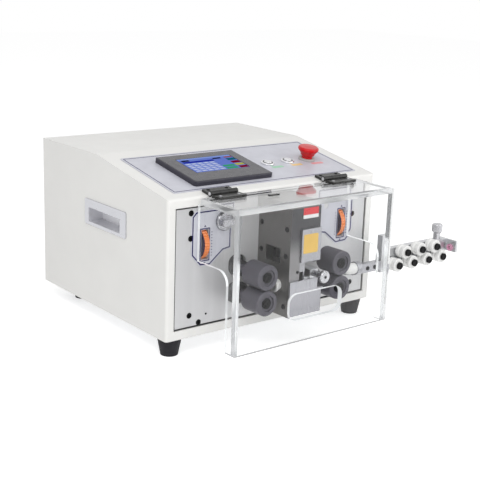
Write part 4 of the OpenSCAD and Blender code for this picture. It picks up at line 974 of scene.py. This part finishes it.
# %% Screws of the straightener's wheels
WIRE_Z = 68.5
WHEEL_X, WHEEL_PITCH, WHEEL_OFF = 383.5, 32.5, 9
HEAD_FRONT = -54.0
CAP_SLEEVE = (5.3, -3.0), (5.3, 0.1), (4.8, 0.6)
CAP_SOCKET = (2.6, 0.6), (2.4, 0.15)
low_row = [(WHEEL_X + WHEEL_PITCH * i, WIRE_Z - WHEEL_OFF) for i in range(4)]
top_row = [(WHEEL_X + WHEEL_PITCH * (i + 0.5), WIRE_Z + WHEEL_OFF) for i in range(3)]


def wheel_screw_caps(name, spots, body):
    """Black sleeves over the bright axle heads, with the socket in front of the head."""
    bm = bmesh.new()
    for u, v in spots:
        sleeve = [ring(r, w, u=u, v=v) for r, w in CAP_SLEEVE]
        socket = [hexagon(r, w, u=u, v=v) for r, w in CAP_SOCKET]
        skin(bm, sleeve + socket)
    piece(name, bm, facing_front(HEAD_FRONT), BLACK, body)


wheel_screw_caps("lower_wheel_screws", low_row, "cabinet")
wheel_screw_caps("upper_wheel_screws", top_row, "upper_wheel_bar")
print("black caps on", len(low_row) + len(top_row), "wheel screws")

# %% [markdown]
# ## Knurled heads
#
# The clamp's thumb screw and the straightener's adjusting screw are turned from steel and knurled for the
# fingers. A bump could hint at the teeth, but the head's outline would stay smooth. So a knurl is a ring
# whose radius steps in and out, and it stands a little proud of the solid's plain head.


# %% Knurls
def knurl(bm, radius, depth, w0, w1, teeth, u, v):
    n = teeth * 2
    inner = radius - depth

    def toothed(w):
        loop = []
        for i in range(n):
            t = 2 * math.pi * i / n
            r = radius if i % 2 else inner
            loop.append((u + r * math.cos(t), v + r * math.sin(t), w))
        return loop

    skin(bm, [ring(inner, w0, n, u, v), toothed(w0 + 0.5), toothed(w1 - 0.5), ring(inner, w1, n, u, v)])


THUMB_X, THUMB_Z, THUMB_END = 210.0, WIRE_Z + 7.5, -72
bm = bmesh.new()
knurl(bm, radius=9.0, depth=0.6, w0=0.9, w1=6.2, teeth=30, u=THUMB_X, v=THUMB_Z)
piece("thumb_screw_knurl", bm, facing_front(SEAT_FACE), STEEL, "thumb_screw")
screws("thumb_screw_socket", facing_front(THUMB_END), [(THUMB_X, THUMB_Z)],
       2.2, 0.4, BLACK, "thumb_screw")

ADJUST_X, ADJUST_Y, BAR_TOP = 488.5, -29.2, 82.5
bm = bmesh.new()
knurl(bm, radius=8.0, depth=0.7, w0=11.4, w1=22.4, teeth=26, u=ADJUST_X, v=ADJUST_Y)
piece("adjust_screw_knurl", bm, facing_up(BAR_TOP), STEEL, "adjust_screw")
print("two knurled heads")

# %% [markdown]
# ## A strip on the cover
#
# A short black strip is laid on top of the cover, near its middle, where the cover shows a dark mark. Its
# upper edge is rounded, so it is a skin over three loops: the outline, the same outline at the height of
# the rounding, and a smaller one on top.

# %% Cover strip
STRIP = rounded_box(136.5, -38.0, 154.5, -33.0, 1.0)
STRIP_T, STRIP_ROUND = 1.2, 0.4
bm = bmesh.new()
loops = (STRIP, 0), (STRIP, STRIP_T - STRIP_ROUND), (inset(STRIP, STRIP_ROUND), STRIP_T)
skin(bm, [[(*p, w) for p in path] for path, w in loops])
piece("cover_strip", bm, facing_up(COVER_TOP), FINISHES["hinge_black"], "cover")
print("strip on the cover,", STRIP_T, "mm thick")

# %% [markdown]
# ## Plain colour patches at the cutter
#
# A plain amber patch sits in front of the blades, and a plain red and white one above it. They are thin
# skins too, each on the face of the plate that carries it.

# %% Patches
AMBER = moulded("amber_patch", (0.70, 0.45, 0.095), 0.35, grain=3000)
RED = moulded("red_patch", (0.66, 0.035, 0.045), 0.35, grain=3000)
WHITE = moulded("white_patch", (0.78, 0.78, 0.78), 0.4, grain=3000)
BLADE_PLATE_FACE = -68
PATCHES = {
    "amber_patch": (AMBER, BLADE_PLATE_FACE, (170.5, 113.5, 196.5, 140.0), 2.0),
    "red_patch": (RED, SEAT_FACE, (170.5, 166.0, 197.5, 175.5), 0.8),
    "white_patch": (WHITE, SEAT_FACE, (170.5, 161.0, 197.5, 166.0), 0.8),
}
for name, (finish, y, box, r) in PATCHES.items():
    bm = bmesh.new()
    slab(bm, rounded_box(*box, r), 0, PRINT)
    piece(name, bm, facing_front(y), finish, "cabinet")
print(len(PATCHES), "patches")

# %% [markdown]
# ## Floor and light
#
# The photograph has a white ground and soft light from all round. More light would make any floor white,
# but it would bleach the machine too. So the floor looks white only to the camera and in reflections, and
# still takes the machine's shadow. The Light Path node tells which rays come from the eye, a reflection or
# clear acrylic. A large soft lamp stands above on the left, weaker ones fill in from the right and from low
# in front, and a pale sky lights the rest.


# %% White for the eye only
def seen_strength(tree, unseen, seen):
    """One strength for the rays that light the machine, another for those that carry its picture."""
    path = tree.nodes.new("ShaderNodeLightPath")
    total = path.outputs["Is Camera Ray"]
    for name in ("Is Glossy Ray", "Is Transmission Ray"):
        either = tree.nodes.new("ShaderNodeMath")
        either.operation = "MAXIMUM"
        tree.links.new(total, either.inputs[0])
        tree.links.new(path.outputs[name], either.inputs[1])
        total = either.outputs[0]
    strength = tree.nodes.new("ShaderNodeMapRange")
    strength.inputs["To Min"].default_value = unseen
    strength.inputs["To Max"].default_value = seen
    tree.links.new(total, strength.inputs["Value"])
    return strength.outputs["Result"]


print("helper for a ground that is white to the eye is ready")

# %% Floor
FLOOR_SIZE, FLOOR_GAP = 6.0, 0.0002
FLOOR_LIGHT, FLOOR_SEEN = 0.15, 0.57
bm = bmesh.new()
bmesh.ops.create_grid(bm, x_segments=1, y_segments=1, size=FLOOR_SIZE)
floor_mesh = bpy.data.meshes.new("floor")
bm.to_mesh(floor_mesh)
bm.free()
floor = bpy.data.objects.new("floor", floor_mesh)
floor.location.z = cad_low.z - FLOOR_GAP
bpy.context.scene.collection.objects.link(floor)
floor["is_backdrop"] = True
floor_finish, tree, shader = new_finish("white_floor", (0.8, 0.8, 0.8), 0.8)
shader.inputs["Specular IOR Level"].default_value = 0.0
shader.inputs["Emission Color"].default_value = (1, 1, 1, 1)
tree.links.new(seen_strength(tree, FLOOR_LIGHT, FLOOR_SEEN), shader.inputs["Emission Strength"])
floor_mesh.materials.append(floor_finish)
print("floor at", round(floor.location.z, 4))


# %% Lamps and sky
def lamp(name, place, size, power):
    """A square lamp at a place in the cabinet's millimetres; size is in metres and power in watts."""
    data = bpy.data.lights.new(name, "AREA")
    data.shape = "SQUARE"
    data.size = size
    data.energy = power
    made = bpy.data.objects.new(name, data)
    made.location = spot(*place)
    made.rotation_euler = (spot(*LAMP_AIM) - made.location).to_track_quat("-Z", "Y").to_euler()
    bpy.context.scene.collection.objects.link(made)


LAMP_AIM = (200, 100, 100)
lamp("key_lamp", (-900, -900, 1700), 1.2, 20)
lamp("fill_lamp", (1300, -1100, 900), 1.4, 8)
lamp("low_lamp", (-100, -1500, 150), 1.2, 5)

SKY_LIGHT, SKY_SEEN = 0.52, 1.0
world = bpy.data.worlds.new("studio")
world.use_nodes = True
bpy.context.scene.world = world
sky = world.node_tree.nodes["Background"]
sky.inputs["Color"].default_value = (1, 1, 1, 1)
sky_strength = seen_strength(world.node_tree, SKY_LIGHT, SKY_SEEN)
world.node_tree.links.new(sky_strength, sky.inputs["Strength"])
print("three lamps and a pale sky")

# %% [markdown]
# ## Size
# #
# # The last line prints how much the dressed machine's box is larger than the box of the solids.

# %% Size and finish
low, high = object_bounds()
grown = (high - low) - (cad_high - cad_low)
print("visual box minus construction box, mm:", [round(v / MM, 2) for v in grown])
